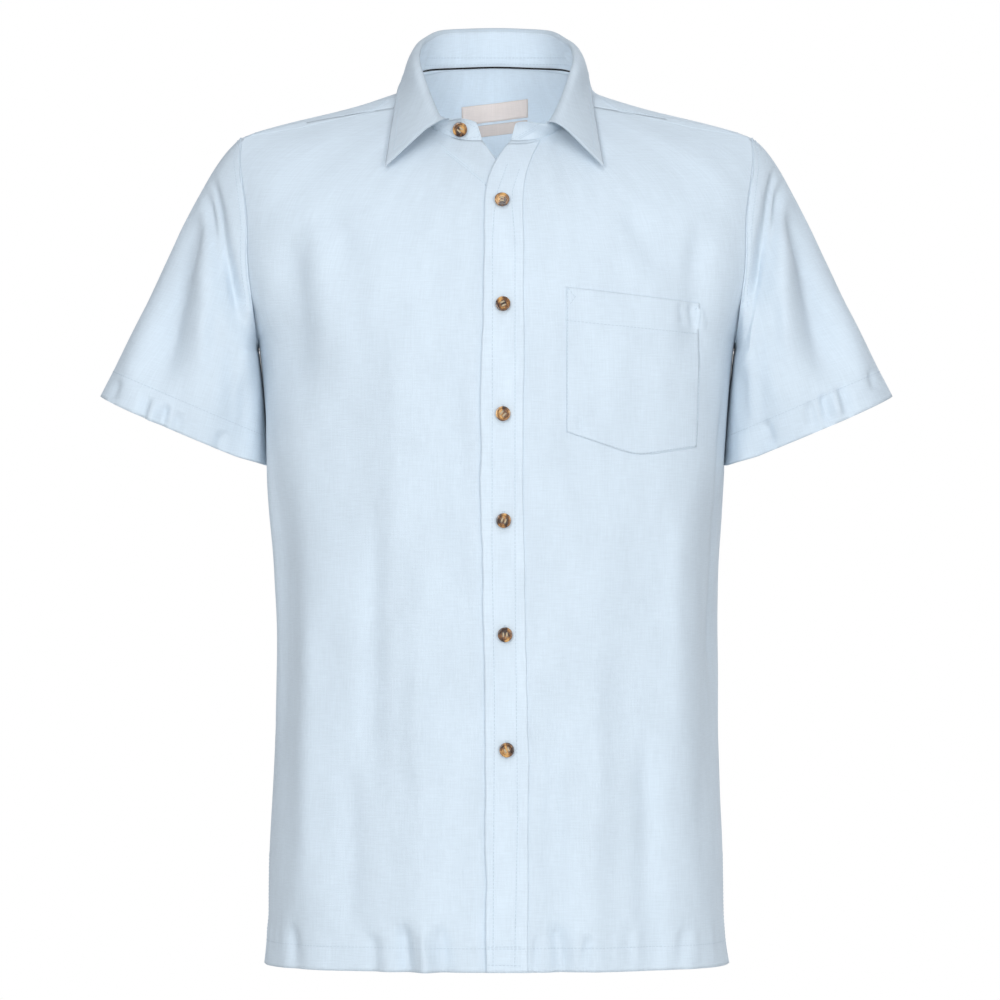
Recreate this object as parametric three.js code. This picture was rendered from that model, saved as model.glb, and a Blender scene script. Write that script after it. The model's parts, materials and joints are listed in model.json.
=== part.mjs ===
// A man's short-sleeved linen bush shirt, filled out as if it were worn, with its collar button undone.
// Millimetres, +Z up. The front faces -Y and the wearer's left is at +X. The origin lies on the
// middle plane between the two shoulders, where the wearer carries the shirt.
import * as THREE from "three";

// Cloth
const CLOTH = 1.2; // wall of one layer
const HEM_CLOTH = 2.2; // wall where a hem is turned up inside
const COLLAR_CLOTH = 1.5; // interlined collar and stand
const SEAM = 0.3; // gap between two pieces at a seam
const LAP = 0.45; // gap between a panel and what lies on it

// Lengths that drive the cut
const HEM_Z = -757;
const HEM_DEPTH = 25;
const VENT_Z = -668; // top of the side vents
const VENT_GAP = 7; // how far each edge of a vent stands off the side line at the hem
const UNDERARM_Z = -222;
const YOKE_Z = -95; // yoke seam across the back
const NECK_HALF_WIDTH = 71;
const NECK_MID_Y = 3;
const NECK_DEPTH = 56;
const NECK_SQUARENESS = 2.4;
const FRONT_NECK_END = 7; // degrees round the neck where each front ends
const YOKE_NECK_ANGLE = 68; // degrees round the neck where the yoke meets the front
const SHOULDER_POINT = { x: 222, y: 5, z: -39 };
const SHOULDER_BACK = { x: 219, y: 32, z: -61 }; // the yoke's armhole, half way down the back
const YOKE_FAN_ANGLE = 132.7; // where the columns from the neck end on the yoke's back seam
const BACK_FAN_ANGLE = 128; // and on the back below it
const PLACKET_WIDTH = 36;
const PLACKET_TOP_SHARE = 0.8; // how far up the last row it reaches
const UNDER_BAND_WIDTH = 33;
const BAND_NECK_ANGLE = 30; // degrees round the neck where each band ends
const LAP_FULL_X = 30; // the upper front clears the lower one this far from the middle
const LAP_FADE_X = 45;
const LAP_TOP_Z = -46;
const LAP_FADE_Z = 15;

// Grid counts
const BAND_COLUMNS = 3;
const NECK_COLUMNS = 4;
const SHOULDER_COLUMNS = 10;
const LOWER_ROWS = 12;
const FRONT_ROWS = 10;
const BACK_ROWS = 8;
const YOKE_ROWS = 8;
const YOKE_NECK_COLUMNS = 14;
const SLEEVE_ROWS = 12;
const STAND_ROWS = 3;
const CUFF_SAMPLES = 720;

// The body's level sections: half width, front and back at the middle, and the side line's place
const SECTIONS = [
  { z: -757, side: 201.5, front: -137, back: 119, mid: 0 },
  { z: -725, side: 197, front: -136.5, back: 118, mid: 0 },
  { z: -668, side: 197.5, front: -136, back: 117, mid: 0 },
  { z: -600, side: 194, front: -135, back: 115, mid: 0 },
  { z: -477, side: 190.5, front: -133, back: 112, mid: 0 },
  { z: -355, side: 196, front: -131, back: 113, mid: 0 },
  { z: -222, side: 206.5, front: -127, back: 118, mid: 1 },
  { z: -185, side: 219, front: -122, back: 119.5, mid: 2 },
  { z: -160, side: 227, front: -117, back: 119, mid: 3 },
  { z: -125, side: 231, front: -107, back: 116.5, mid: 4 },
  { z: -100, side: 233, front: -96, back: 113, mid: 5 },
  { z: -70, side: 237, front: -77, back: 104, mid: 5 },
  { z: -45, side: 230, front: -55, back: 94, mid: 5 },
  { z: -39, side: 222, front: -50, back: 91.5, mid: 5 },
  { z: -28, side: 187, front: -41, back: 87, mid: 5 },
  { z: -14, side: 133, front: -28, back: 80, mid: 5 },
  { z: 0, side: 98, front: -19, back: 73, mid: 5 },
  { z: 14, side: 76, front: -14, back: 66.5, mid: 5 },
  { z: 30, side: 66, front: -12, back: 58, mid: 5 },
];

// How square each section is: 2 is an ellipse
const SQUARENESS = [
  { z: -757, front: 2.45, back: 2.35 },
  { z: -160, front: 2.4, back: 2.3 },
  { z: -100, front: 2.35, back: 2.1 },
  { z: -45, front: 2.0, back: 1.8 },
  { z: -14, front: 1.8, back: 1.55 },
  { z: 30, front: 1.9, back: 2.0 },
];

// Height of the neck seam, by degrees round the neck from the front
const NECK_SEAM = [
  { angle: 0, z: -46 },
  { angle: 20, z: -48 },
  { angle: 42, z: -37 },
  { angle: 55, z: -25 },
  { angle: 68, z: -9 },
  { angle: 90, z: 7 },
  { angle: 110, z: 15 },
  { angle: 130, z: 20 },
  { angle: 180, z: 25 },
];

// The armhole seam as seen from the side, from the underarm up
const ARMHOLE_FRONT = [
  { z: -222, y: 1 },
  { z: -212, y: -20 },
  { z: -195, y: -37 },
  { z: -170, y: -48 },
  { z: -125, y: -47 },
  { z: -80, y: -33 },
  { z: -42, y: -7 },
];
const ARMHOLE_BACK = [
  { z: -222, y: 1 },
  { z: -212, y: 24 },
  { z: -190, y: 46 },
  { z: -150, y: 60 },
  { z: -95, y: 56 },
];

// The opening edge of each front, as a distance past the middle towards the other side
const LEFT_EDGE = [
  { z: -757, x: -9 },
  { z: -584, x: -9 },
  { z: -450, x: -11 },
  { z: -320, x: -13.5 },
  { z: -160, x: -11 },
  { z: -93, x: -9.5 },
  { z: -78, x: -7 },
  { z: -61, x: 0.5 },
  { z: -42, x: 12 },
];
const RIGHT_EDGE = [
  { z: -757, x: -24 },
  { z: -160, x: -24 },
  { z: -110, x: -20 },
  { z: -78, x: -9 },
  { z: -61, x: 0.5 },
  { z: -42, x: 12 },
];

// Collar, by degrees round the neck from the front: the stand's height, its lean inwards on each
// side, the way it leans in degrees round the neck, and the size of the roll over its top
const STAND = [
  { angle: 7, height: 16, rightLean: 34, leftLean: 40, toward: -20, roll: 4 },
  { angle: 22, height: 20, rightLean: 28, leftLean: 32, toward: 80, roll: 5.5 },
  { angle: 42, height: 20, rightLean: 65, leftLean: 65, toward: 142, roll: 6.5 },
  { angle: 60, height: 23, rightLean: 45, leftLean: 46, toward: 140, roll: 6 },
  { angle: 90, height: 27, rightLean: 32, leftLean: 34, toward: 148, roll: 4.6 },
  { angle: 110, height: 30, rightLean: 24, leftLean: 29, toward: 146, roll: 4 },
  { angle: 130, height: 33, rightLean: 12, leftLean: 17, toward: 152, roll: 3.8 },
  { angle: 180, height: 30, rightLean: 6, leftLean: 6, toward: 180, roll: 3.8 },
];
const STAND_END_ROUND = 9; // degrees over which the stand's end is rounded down
const STAND_END_SHARE = 0.25; // its height at the very end
const STAND_SEAM = 0.5; // gap along the neck seam
const FOLD_SEAM = 1; // gap where the leaf meets the stand
const LEAF_CLEAR = 1.2; // least gap between the leaf and the shirt below it
const LEAF_START = 42; // degrees round the neck where the collar leaf begins

// The leaf's outer edge, by degrees round the neck, and how far it stands off the shirt there
const LEAF_EDGE = [
  { angle: 42, x: 95, y: -72, z: -72, lift: 6 },
  { angle: 55, x: 91.5, y: -48, z: -42, lift: 5 },
  { angle: 68, x: 88, y: -20, z: -13, lift: 3.5 },
  { angle: 90, x: 79.5, y: 12, z: 8, lift: 3.6 },
  { angle: 120, x: 64, y: 48, z: 12, lift: 3 },
  { angle: 150, x: 38, y: 68, z: 13, lift: 4 },
  { angle: 180, x: 0, y: 74, z: 14, lift: 4 },
];
const LEAF_LEFT_IN = 5; // the wearer's left half sits this much closer to the neck
const LEAF_ROLLED = 0.3; // share of the leaf from its fold that the shirt below doesn't press on

// The fold's roll in parts of its size: how far up and out its crown and its outer turn lie, and
// how far along the leaf each of its rows comes
const CROWN = { up: 0.8, out: 0.5 };
const TURN = { up: 0.45, out: 2 };
const ROLL_ROWS = [0, 0.5, 1, 1.7];
const ROLL_END = 2.6;
const LEAF_FLAT_ROWS = 3;

// Sleeve: the cuff's outer and inner ends, and the way the cloth runs there
const CUFF_OUTER = new THREE.Vector3(344.5, -6, -264.5);
const CUFF_INNER = new THREE.Vector3(202, 16, -325);
const CUFF_HALF_DEPTH = 56;
const CUFF_SQUARENESS = 2.35;
const CUFF_BACK_RISE = 0.05; // how much the opening rises towards the back
const SLEEVE_LEAVE_TOP = new THREE.Vector3(86, 0, -44);
const SLEEVE_LEAVE_UNDER = new THREE.Vector3(8, 0, -62);
const SLEEVE_LEAVE_SIDE = 26; // swing to the front and to the back
const SLEEVE_ARRIVE_OUTER = new THREE.Vector3(118, 0, -212);
const SLEEVE_ARRIVE_INNER = new THREE.Vector3(-4, 0, -105);
const SLEEVE_GAP = 0.4;
const SLEEVE_HEM_SHARE = 0.9; // where the turned hem begins, from armhole to cuff
const SLEEVE_HEM_STEP = 0.01; // the wall thickens over this share

// Chest pocket on the wearer's left front
const POCKET = {
  left: 59.5,
  right: 177,
  rightLow: 171.5,
  topLeft: -173,
  topRight: -186,
  lowLeft: -297,
  lowRight: -309.5,
  point: -317.5,
  pointShare: 0.54,
};
const POCKET_LAP = 1.3; // it lies a little looser than the placket
const POCKET_COLUMNS = 8;
const POCKET_ROWS = 8;

// Buttons
const BUTTON_RADIUS = 6.3;
const BUTTON_THICKNESS = 2.4;
const BUTTON_HOLE_RADIUS = 0.8;
const BUTTON_HOLE_PITCH = 1.5; // from the button's middle to each hole, along both axes
const BUTTON_LIFT = 0.6; // thread shank between the cloth and the button
const BUTTON_SEAT = 6.1; // radius of the spots
const BUTTON_SEGMENTS = 10;
const RIM_SPOTS = 8; // spots at which the cloth under the rim is felt
const FRONT_BUTTONS = [
  { name: "button_1", x: 4.8, z: -98.5 },
  { name: "button_2", x: 5.6, z: -188 },
  { name: "button_3", x: 5.6, z: -281.5 },
  { name: "button_4", x: 6.2, z: -372.5 },
  { name: "button_5", x: 7.4, z: -469.5 },
  { name: "button_6", x: 8.8, z: -567.5 },
];
const COLLAR_BUTTON_ANGLE = 26; // degrees round the neck, on the wearer's right
const COLLAR_BUTTON_SHARE = 0.42; // how far up the stand

// Label and tape inside the back neck
const LABEL = { width: 59, top: -5, height: 15.5, tilt: 7, x: -1.5 };
const TAB = { width: 46, top: -22, height: 10, tilt: 7, x: 4.5 };
const LABEL_CLOTH = 1;
const LABEL_LAP = 0.9; // gap between the label and the yoke
const LABEL_COLUMNS = 6;
const LABEL_ROWS = 2;
const TAPE_ANGLE = 100; // the tape runs round the back of the neck between these angles
const TAPE_HEIGHT = 2.2;
const TAPE_RAISE = 0.5; // its lower edge over the stand's
const TAPE_CLOTH = 1;
const TAPE_LAP = 0.8; // gap between the tape and the stand

// The largest folds, as lines seen from the front or back: a trough has a negative depth.
// Each fades in over a share of its length at the top and fades out past its lower end.
const FOLD_FADE = 0.25;
const FOLD_TOP_START = 0.4;
const BODY_FOLDS = [
  { face: -1, x0: -150, z0: -110, x1: -128, z1: -330, width: 24, depth: -3.2 },
  { face: -1, x0: -176, z0: -250, x1: -160, z1: -700, width: 20, depth: 2.6 },
  { face: -1, x0: -118, z0: -380, x1: -108, z1: -757, width: 22, depth: -2.4 },
  { face: -1, x0: -62, z0: -300, x1: -70, z1: -757, width: 22, depth: 2.2 },
  { face: -1, x0: 66, z0: -330, x1: 72, z1: -757, width: 24, depth: 2.4 },
  { face: -1, x0: 112, z0: -400, x1: 118, z1: -757, width: 20, depth: -2.6 },
  { face: -1, x0: 160, z0: -300, x1: 166, z1: -757, width: 22, depth: 2.4 },
  { face: -1, x0: 172, z0: -110, x1: 150, z1: -170, width: 20, depth: -2.6 },
  { face: 1, x0: -130, z0: -130, x1: -112, z1: -757, width: 26, depth: 3.4 },
  { face: 1, x0: -60, z0: -200, x1: -66, z1: -757, width: 24, depth: -3.2 },
  { face: 1, x0: 4, z0: -260, x1: -4, z1: -757, width: 24, depth: 3.0 },
  { face: 1, x0: 70, z0: -180, x1: 62, z1: -757, width: 24, depth: -3.0 },
  { face: 1, x0: 136, z0: -140, x1: 124, z1: -757, width: 26, depth: 3.4 },
];
const SLEEVE_FOLDS = [
  { face: -1, x0: 237, z0: -66, x1: 217, z1: -205, width: 6.5, depth: -3.4 },
  { face: -1, x0: 247, z0: -82, x1: 226, z1: -205, width: 8, depth: -3.4 },
  { face: -1, x0: 258, z0: -96, x1: 288, z1: -262, width: 13, depth: -3.6 },
  { face: -1, x0: 240, z0: -150, x1: 250, z1: -290, width: 16, depth: 3.0 },
  { face: 1, x0: 240, z0: -70, x1: 226, z1: -215, width: 9, depth: -3.4 },
  { face: 1, x0: 262, z0: -100, x1: 282, z1: -270, width: 15, depth: -3.4 },
];

const RAD = Math.PI / 180;
const vec = (x, y, z) => new THREE.Vector3(x, y, z);
const lerp = (a, b, t) => a + (b - a) * t;
const clamp01 = (t) => Math.min(1, Math.max(0, t));
const ease = (t) => clamp01(t) ** 2 * (3 - 2 * clamp01(t));

// One column of a table read at a key, on a smooth curve that never overshoots its rows.
function read(table, key, column, at) {
  const n = table.length;
  const rising = table[n - 1][key] > table[0][key];
  const row = (i) => table[rising ? i : n - 1 - i];
  if (at <= row(0)[key]) return row(0)[column];
  if (at >= row(n - 1)[key]) return row(n - 1)[column];
  let i = 0;
  while (row(i + 1)[key] < at) i++;
  const step = (k) => row(k + 1)[key] - row(k)[key];
  const slope = (k) => (row(k + 1)[column] - row(k)[column]) / step(k);
  const tangent = (k) => {
    if (k === 0) return slope(0);
    if (k === n - 1) return slope(n - 2);
    const [a, b] = [slope(k - 1), slope(k)];
    return a * b <= 0 ? 0 : (2 * a * b) / (a + b);
  };
  const h = step(i);
  const t = (at - row(i)[key]) / h;
  return (
    row(i)[column] * (2 * t ** 3 - 3 * t ** 2 + 1) +
    row(i + 1)[column] * (3 * t ** 2 - 2 * t ** 3) +
    h * tangent(i) * (t ** 3 - 2 * t ** 2 + t) +
    h * tangent(i + 1) * (t ** 3 - t ** 2)
  );
}

// The body's section at a height: positive outside the form, negative inside.
function outside(p) {
  const side = read(SECTIONS, "z", "side", p.z);
  const mid = read(SECTIONS, "z", "mid", p.z);
  const face = p.y < mid ? "front" : "back";
  const depth = Math.abs(read(SECTIONS, "z", face, p.z) - mid);
  const power = read(SQUARENESS, "z", face, p.z);
  const sum = (Math.abs(p.x) / side) ** power + (Math.abs(p.y - mid) / depth) ** power;
  return (sum ** (1 / power) - 1) * Math.min(side, depth);
}

function slopeOf(p) {
  const e = 0.05;
  const along = (d) =>
    (outside(p.clone().addScaledVector(d, e)) - outside(p.clone().addScaledVector(d, -e))) /
    (2 * e);
  return vec(along(vec(1, 0, 0)), along(vec(0, 1, 0)), along(vec(0, 0, 1)));
}

// The nearest point of the body's form.
function settle(p, rounds = 8) {
  const q = p.clone();
  for (let i = 0; i < rounds; i++) {
    const g = slopeOf(q);
    q.addScaledVector(g, -outside(q) / g.lengthSq());
  }
  return q;
}

// A point of a level section, by degrees from the front.
function onSection(angle, z) {
  const face = angle < 90 ? "front" : "back";
  const mid = read(SECTIONS, "z", "mid", z);
  const side = read(SECTIONS, "z", "side", z);
  const depth = Math.abs(read(SECTIONS, "z", face, z) - mid);
  const power = read(SQUARENESS, "z", face, z);
  const [s, c] = [Math.sin(angle * RAD), Math.cos(angle * RAD)];
  const r = ((Math.abs(s) / side) ** power + (Math.abs(c) / depth) ** power) ** (-1 / power);
  return vec(r * s, mid - r * c, z);
}

// Soft folds: the height of the cloth over its form at a point seen from the front or back.
function foldHeight(folds, p, face) {
  let height = 0;
  for (const f of folds) {
    if (f.face !== face) continue;
    const [dx, dz] = [f.x1 - f.x0, f.z1 - f.z0];
    const along = ((p.x - f.x0) * dx + (p.z - f.z0) * dz) / (dx * dx + dz * dz);
    const t = clamp01(along);
    const off = Math.hypot(p.x - f.x0 - t * dx, p.z - f.z0 - t * dz);
    const fade = ease(along / FOLD_FADE + FOLD_TOP_START) * ease((1 - along) / FOLD_FADE + 1);
    height += f.depth * fade * Math.exp(-((off / f.width) ** 2));
  }
  return height;
}

// Points of a curve spread evenly along its length.
function evenly(curve, count, samples = 200) {
  const line = Array.from({ length: samples + 1 }, (_, i) => curve(i / samples));
  const path = new THREE.CurvePath();
  for (let i = 0; i < samples; i++) path.add(new THREE.LineCurve3(line[i], line[i + 1]));
  return Array.from({ length: count + 1 }, (_, i) => path.getPointAt(i / count));
}

function neckPoint(angle) {
  const [s, c] = [Math.sin(angle * RAD), Math.cos(angle * RAD)];
  const power = 2 / NECK_SQUARENESS;
  const x = NECK_HALF_WIDTH * s ** power;
  const y = NECK_MID_Y - NECK_DEPTH * Math.sign(c) * Math.abs(c) ** power;
  return settle(vec(x, y, read(NECK_SEAM, "angle", "z", angle)), 3);
}

function armhole(table, t) {
  const z = lerp(table[0].z, table[table.length - 1].z, t);
  const y = read(table, "z", "y", z);
  const mid = read(SECTIONS, "z", "mid", z);
  const face = y < mid ? "front" : "back";
  const depth = Math.abs(read(SECTIONS, "z", face, z) - mid);
  const power = read(SQUARENESS, "z", face, z);
  const side = read(SECTIONS, "z", "side", z);
  return vec(side * (1 - (Math.abs(y - mid) / depth) ** power) ** (1 / power), y, z);
}

// A patch between four boundaries, laid onto the body's form. Each boundary is a list of points.
function patch(bottom, top, left, right) {
  const [rows, columns] = [left.length - 1, bottom.length - 1];
  const grid = [];
  for (let i = 0; i <= rows; i++) {
    const t = i / rows;
    grid.push(
      bottom.map((low, j) => {
        const a = j / columns;
        const p = vec(0, 0, 0)
          .addScaledVector(low, 1 - t)
          .addScaledVector(top[j], t)
          .addScaledVector(left[i], 1 - a)
          .addScaledVector(right[i], a)
          .addScaledVector(bottom[0], -(1 - a) * (1 - t))
          .addScaledVector(bottom[columns], -a * (1 - t))
          .addScaledVector(top[0], -(1 - a) * t)
          .addScaledVector(top[columns], -a * t);
        const edge = i === 0 || i === rows || j === 0 || j === columns;
        return edge ? p : settle(p);
      }),
    );
  }
  return grid;
}

// The grid's own normal at each point. Columns may wrap round a tube.
function normals(grid, wraps) {
  const [rows, columns] = [grid.length, grid[0].length];
  const at = (i, j) =>
    grid[Math.min(rows - 1, Math.max(0, i))][
      wraps ? (j + columns) % columns : Math.min(columns - 1, Math.max(0, j))
    ];
  return grid.map((row, i) =>
    row.map((_, j) => {
      const across = at(i, j + 1).clone().sub(at(i, j - 1));
      const up = at(i + 1, j).clone().sub(at(i - 1, j));
      return across.cross(up).normalize();
    }),
  );
}

const moved = (grid, distance, wraps = false) => {
  const n = normals(grid, wraps);
  return grid.map((row, i) =>
    row.map((p, j) => p.clone().addScaledVector(n[i][j], distance(p, i, j))),
  );
};

// Draws the grid's border in by half a seam, on the sides that are named.
function trimmed(grid, sides) {
  const [rows, columns] = [grid.length - 1, grid[0].length - 1];
  const out = grid.map((row) => row.map((p) => p.clone()));
  const pull = (i, j, k, l) => {
    const d = grid[k][l].clone().sub(grid[i][j]).setLength(SEAM / 2);
    out[i][j].add(d);
  };
  for (let j = 0; j <= columns; j++) {
    if (sides.includes("bottom")) pull(0, j, 1, j);
    if (sides.includes("top")) pull(rows, j, rows - 1, j);
  }
  for (let i = 0; i <= rows; i++) {
    if (sides.includes("left")) pull(i, 0, i, 1);
    if (sides.includes("right")) pull(i, columns, i, columns - 1);
  }
  return out;
}

// A closed wall: the grid is its outer face, and its thickness lies inside. On a border of a
// panel of the body the wall stands square to the body's form, so that two panels meet flat.
function wall(grid, thickness, { wraps = false, squareTo = [], topNormals = null } = {}) {
  const thick = typeof thickness === "function" ? thickness : () => thickness;
  const own = normals(grid, wraps);
  const [rows, columns] = [grid.length, grid[0].length];
  const onBorder = (i, j) =>
    (squareTo.includes("bottom") && i === 0) ||
    (squareTo.includes("top") && i === rows - 1) ||
    (squareTo.includes("left") && j === 0) ||
    (squareTo.includes("right") && j === columns - 1);
  const inner = grid.map((row, i) =>
    row.map((p, j) => {
      const n = onBorder(i, j) ? slopeOf(p).normalize() : own[i][j];
      if (topNormals && i === rows - 1) n.copy(topNormals[j]);
      return p.clone().addScaledVector(n, -thick(i, j));
    }),
  );
  const points = [...grid.flat(), ...inner.flat()];
  const back = rows * columns;
  const faces = [];
  const quad = (a, b, c, d) => faces.push(a, b, c, a, c, d);
  const spans = wraps ? columns : columns - 1;
  const id = (i, j) => i * columns + (j % columns);
  for (let i = 0; i < rows - 1; i++)
    for (let j = 0; j < spans; j++) {
      const [a, b, c, d] = [id(i, j), id(i, j + 1), id(i + 1, j + 1), id(i + 1, j)];
      quad(a, b, c, d);
      quad(back + d, back + c, back + b, back + a);
    }
  for (let j = 0; j < spans; j++) {
    quad(id(0, j + 1), id(0, j), back + id(0, j), back + id(0, j + 1));
    quad(id(rows - 1, j), id(rows - 1, j + 1), back + id(rows - 1, j + 1), back + id(rows - 1, j));
  }
  if (!wraps)
    for (let i = 0; i < rows - 1; i++) {
      quad(id(i, 0), id(i + 1, 0), back + id(i + 1, 0), back + id(i, 0));
      const last = columns - 1;
      quad(id(i + 1, last), id(i, last), back + id(i, last), back + id(i + 1, last));
    }
  const geometry = new THREE.BufferGeometry();
  geometry.setAttribute(
    "position",
    new THREE.Float32BufferAttribute(points.flatMap((p) => [p.x, p.y, p.z]), 3),
  );
  geometry.setIndex(faces);
  geometry.computeVertexNormals();
  return geometry;
}

const flipped = (p) => vec(-p.x, p.y, p.z);
const mirrored = (grid) => grid.map((row) => row.map(flipped).reverse());
const steps = (count, from, to) =>
  Array.from({ length: count + 1 }, (_, k) => lerp(from, to, k / count));

const LINEN = new THREE.MeshStandardMaterial({ color: 0xcfe0ee, roughness: 0.9, metalness: 0 });
const TORTOISE = new THREE.MeshStandardMaterial({ color: 0x7a4a26, roughness: 0.3, metalness: 0 });
const LABEL_TWILL = new THREE.MeshStandardMaterial({ color: 0xddd3c8, roughness: 0.7, metalness: 0 });
const BLACK_TAPE = new THREE.MeshStandardMaterial({ color: 0x17181b, roughness: 0.8, metalness: 0 });

const shirt = new THREE.Group();
function add(name, geometry, material) {
  const mesh = new THREE.Mesh(geometry, material);
  mesh.name = name;
  shirt.add(mesh);
  return mesh;
}

// Levels of the body's rows: the hem's edge, the top of the hem, and even ones to the underarm.
const LEVELS = [HEM_Z, ...steps(LOWER_ROWS + 1, HEM_Z + HEM_DEPTH, UNDERARM_Z)];
const hemThick = (i) => (i < 2 ? HEM_CLOTH : CLOTH);

// How far a vent's edge stands off the side line at a height.
const ventGap = (z) => VENT_GAP * ease((VENT_Z - z) / (VENT_Z - HEM_Z));

// Places round the neck, shared by the fronts, the yoke and the stand.
const neckSide = (angle) => (angle > 180 ? 360 - angle : angle);
const neckAt = (angle) => (angle > 180 ? flipped(neckPoint(360 - angle)) : neckPoint(angle));
const FRONT_NECK = [
  ...steps(BAND_COLUMNS, FRONT_NECK_END, BAND_NECK_ANGLE),
  ...steps(NECK_COLUMNS - 1, LEAF_START, YOKE_NECK_ANGLE),
];
const BACK_NECK = steps(YOKE_NECK_COLUMNS, YOKE_NECK_ANGLE, 360 - YOKE_NECK_ANGLE);
const NECK = [
  ...FRONT_NECK,
  ...BACK_NECK.slice(1, -1),
  ...FRONT_NECK.map((angle) => 360 - angle).reverse(),
];

// Seam lines shared by two pieces, all on the wearer's left.
const frontArmhole = evenly((t) => armhole(ARMHOLE_FRONT, t), FRONT_ROWS);
const backArmhole = evenly((t) => armhole(ARMHOLE_BACK, t), BACK_ROWS);
const yokeFrontEnd = frontArmhole[FRONT_ROWS];
const yokeBackEnd = backArmhole[BACK_ROWS];
const shoulderSeam = evenly(
  (t) => settle(neckPoint(YOKE_NECK_ANGLE).lerp(yokeFrontEnd, t), 4),
  SHOULDER_COLUMNS,
  20,
);
shoulderSeam[SHOULDER_COLUMNS] = yokeFrontEnd.clone();
const yokeArmLine = new THREE.CatmullRomCurve3([
  yokeBackEnd,
  vec(SHOULDER_BACK.x, SHOULDER_BACK.y, SHOULDER_BACK.z),
  vec(SHOULDER_POINT.x, SHOULDER_POINT.y, SHOULDER_POINT.z),
  yokeFrontEnd,
]);
const yokeArmhole = evenly((t) => yokeArmLine.getPoint(t), YOKE_ROWS, 40).map((p) => settle(p));
const angleOf = (p) => Math.atan2(p.x, read(SECTIONS, "z", "mid", p.z) - p.y) / RAD;
const backSeamAngles = (() => {
  const end = angleOf(yokeBackEnd);
  const half = steps(SHOULDER_COLUMNS, end, YOKE_FAN_ANGLE);
  const middle = steps(YOKE_NECK_COLUMNS, YOKE_FAN_ANGLE, 360 - YOKE_FAN_ANGLE);
  return [...half, ...middle.slice(1, -1), ...half.map((angle) => 360 - angle).reverse()];
})();
const backSeam = backSeamAngles.map((angle) => onSection(angle, YOKE_Z));

// One front, built for the wearer's left: its opening edge, its band and the rest up to the side.
function frontGrid(edge, bandWidth, lift) {
  const rest = NECK_COLUMNS + SHOULDER_COLUMNS;
  const degrees = (x, z) => Math.atan2(x, -read(SECTIONS, "z", "front", z)) / RAD;
  const levelRow = (z) => {
    const start = read(edge, "z", "x", z);
    const band = steps(BAND_COLUMNS, start, start + bandWidth);
    const open = steps(rest, degrees(start + bandWidth, z), 90).slice(1);
    const row = [...band.map((x) => degrees(x, z)), ...open].map((angle) => onSection(angle, z));
    row[row.length - 1].y -= ventGap(z);
    return row;
  };
  const top = [...FRONT_NECK.map(neckPoint), ...shoulderSeam.slice(1)];
  const lower = LEVELS.map(levelRow);
  const bottom = lower[lower.length - 1];
  const left = steps(FRONT_ROWS, UNDERARM_Z, top[0].z).map((z) =>
    onSection(degrees(read(edge, "z", "x", z), z), z),
  );
  left[FRONT_ROWS] = top[0].clone();
  const right = frontArmhole.map((p) => p.clone());
  right[0] = bottom[bottom.length - 1].clone();
  const grid = [...lower, ...patch(bottom, top, left, right).slice(1)];
  return moved(grid, (p, i) => lift(i) * lapShare(p));
}

// The upper front rises over the lower one near the middle, and comes down again at the neck.
const lapShare = (p) =>
  (1 - ease((Math.abs(p.x) - LAP_FULL_X) / LAP_FADE_X)) * ease((LAP_TOP_Z - p.z) / LAP_FADE_Z);

function backGrid() {
  const half = steps(SHOULDER_COLUMNS, 90, BACK_FAN_ANGLE);
  const middle = steps(YOKE_NECK_COLUMNS, BACK_FAN_ANGLE, 360 - BACK_FAN_ANGLE);
  const angles = [...half, ...middle.slice(1, -1), ...half.map((angle) => 360 - angle).reverse()];
  const lower = LEVELS.map((z) => {
    const row = angles.map((angle) => onSection(angle, z));
    row[0].y += ventGap(z);
    row[row.length - 1].y += ventGap(z);
    return row;
  });
  const left = backArmhole.map((p) => p.clone());
  left[0] = lower[lower.length - 1][0].clone();
  return [...lower, ...patch(lower[lower.length - 1], backSeam, left, left.map(flipped)).slice(1)];
}

function yokeGrid() {
  const top = [
    ...shoulderSeam.slice(1).reverse(),
    ...BACK_NECK.map(neckAt),
    ...shoulderSeam.slice(1).map(flipped),
  ];
  return patch(backSeam, top, yokeArmhole, yokeArmhole.map(flipped));
}

// Lays the largest folds on a panel of the body, fading them out at its seams.
function folded(grid, face, seams) {
  const last = grid[0].length - 1;
  return moved(grid, (p, i, j) => {
    const inset = Math.min(seams.left ? j : last, seams.right ? last - j : last);
    return ease(inset / 2) * ease((grid.length - 1 - i) / 3) * foldHeight(BODY_FOLDS, p, face);
  });
}

const leftFront = folded(
  frontGrid(LEFT_EDGE, PLACKET_WIDTH, (i) => hemThick(i) + LAP),
  -1,
  { left: false, right: true },
);
const rightFront = folded(
  mirrored(frontGrid(RIGHT_EDGE, UNDER_BAND_WIDTH, () => 0)),
  -1,
  { left: true, right: false },
);
const back = folded(backGrid(), 1, { left: true, right: true });
const yoke = yokeGrid();
const allSides = ["top", "bottom", "left", "right"];
add(
  "front_left",
  wall(trimmed(leftFront, ["right", "top"]), hemThick, { squareTo: ["right", "top"] }),
  LINEN,
);
add(
  "front_right",
  wall(trimmed(rightFront, ["left", "top"]), hemThick, { squareTo: ["left", "top"] }),
  LINEN,
);
add(
  "back",
  wall(trimmed(back, ["left", "right", "top"]), hemThick, { squareTo: ["left", "right", "top"] }),
  LINEN,
);
add("yoke", wall(trimmed(yoke, allSides), CLOTH, { squareTo: allSides }), LINEN);

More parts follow.
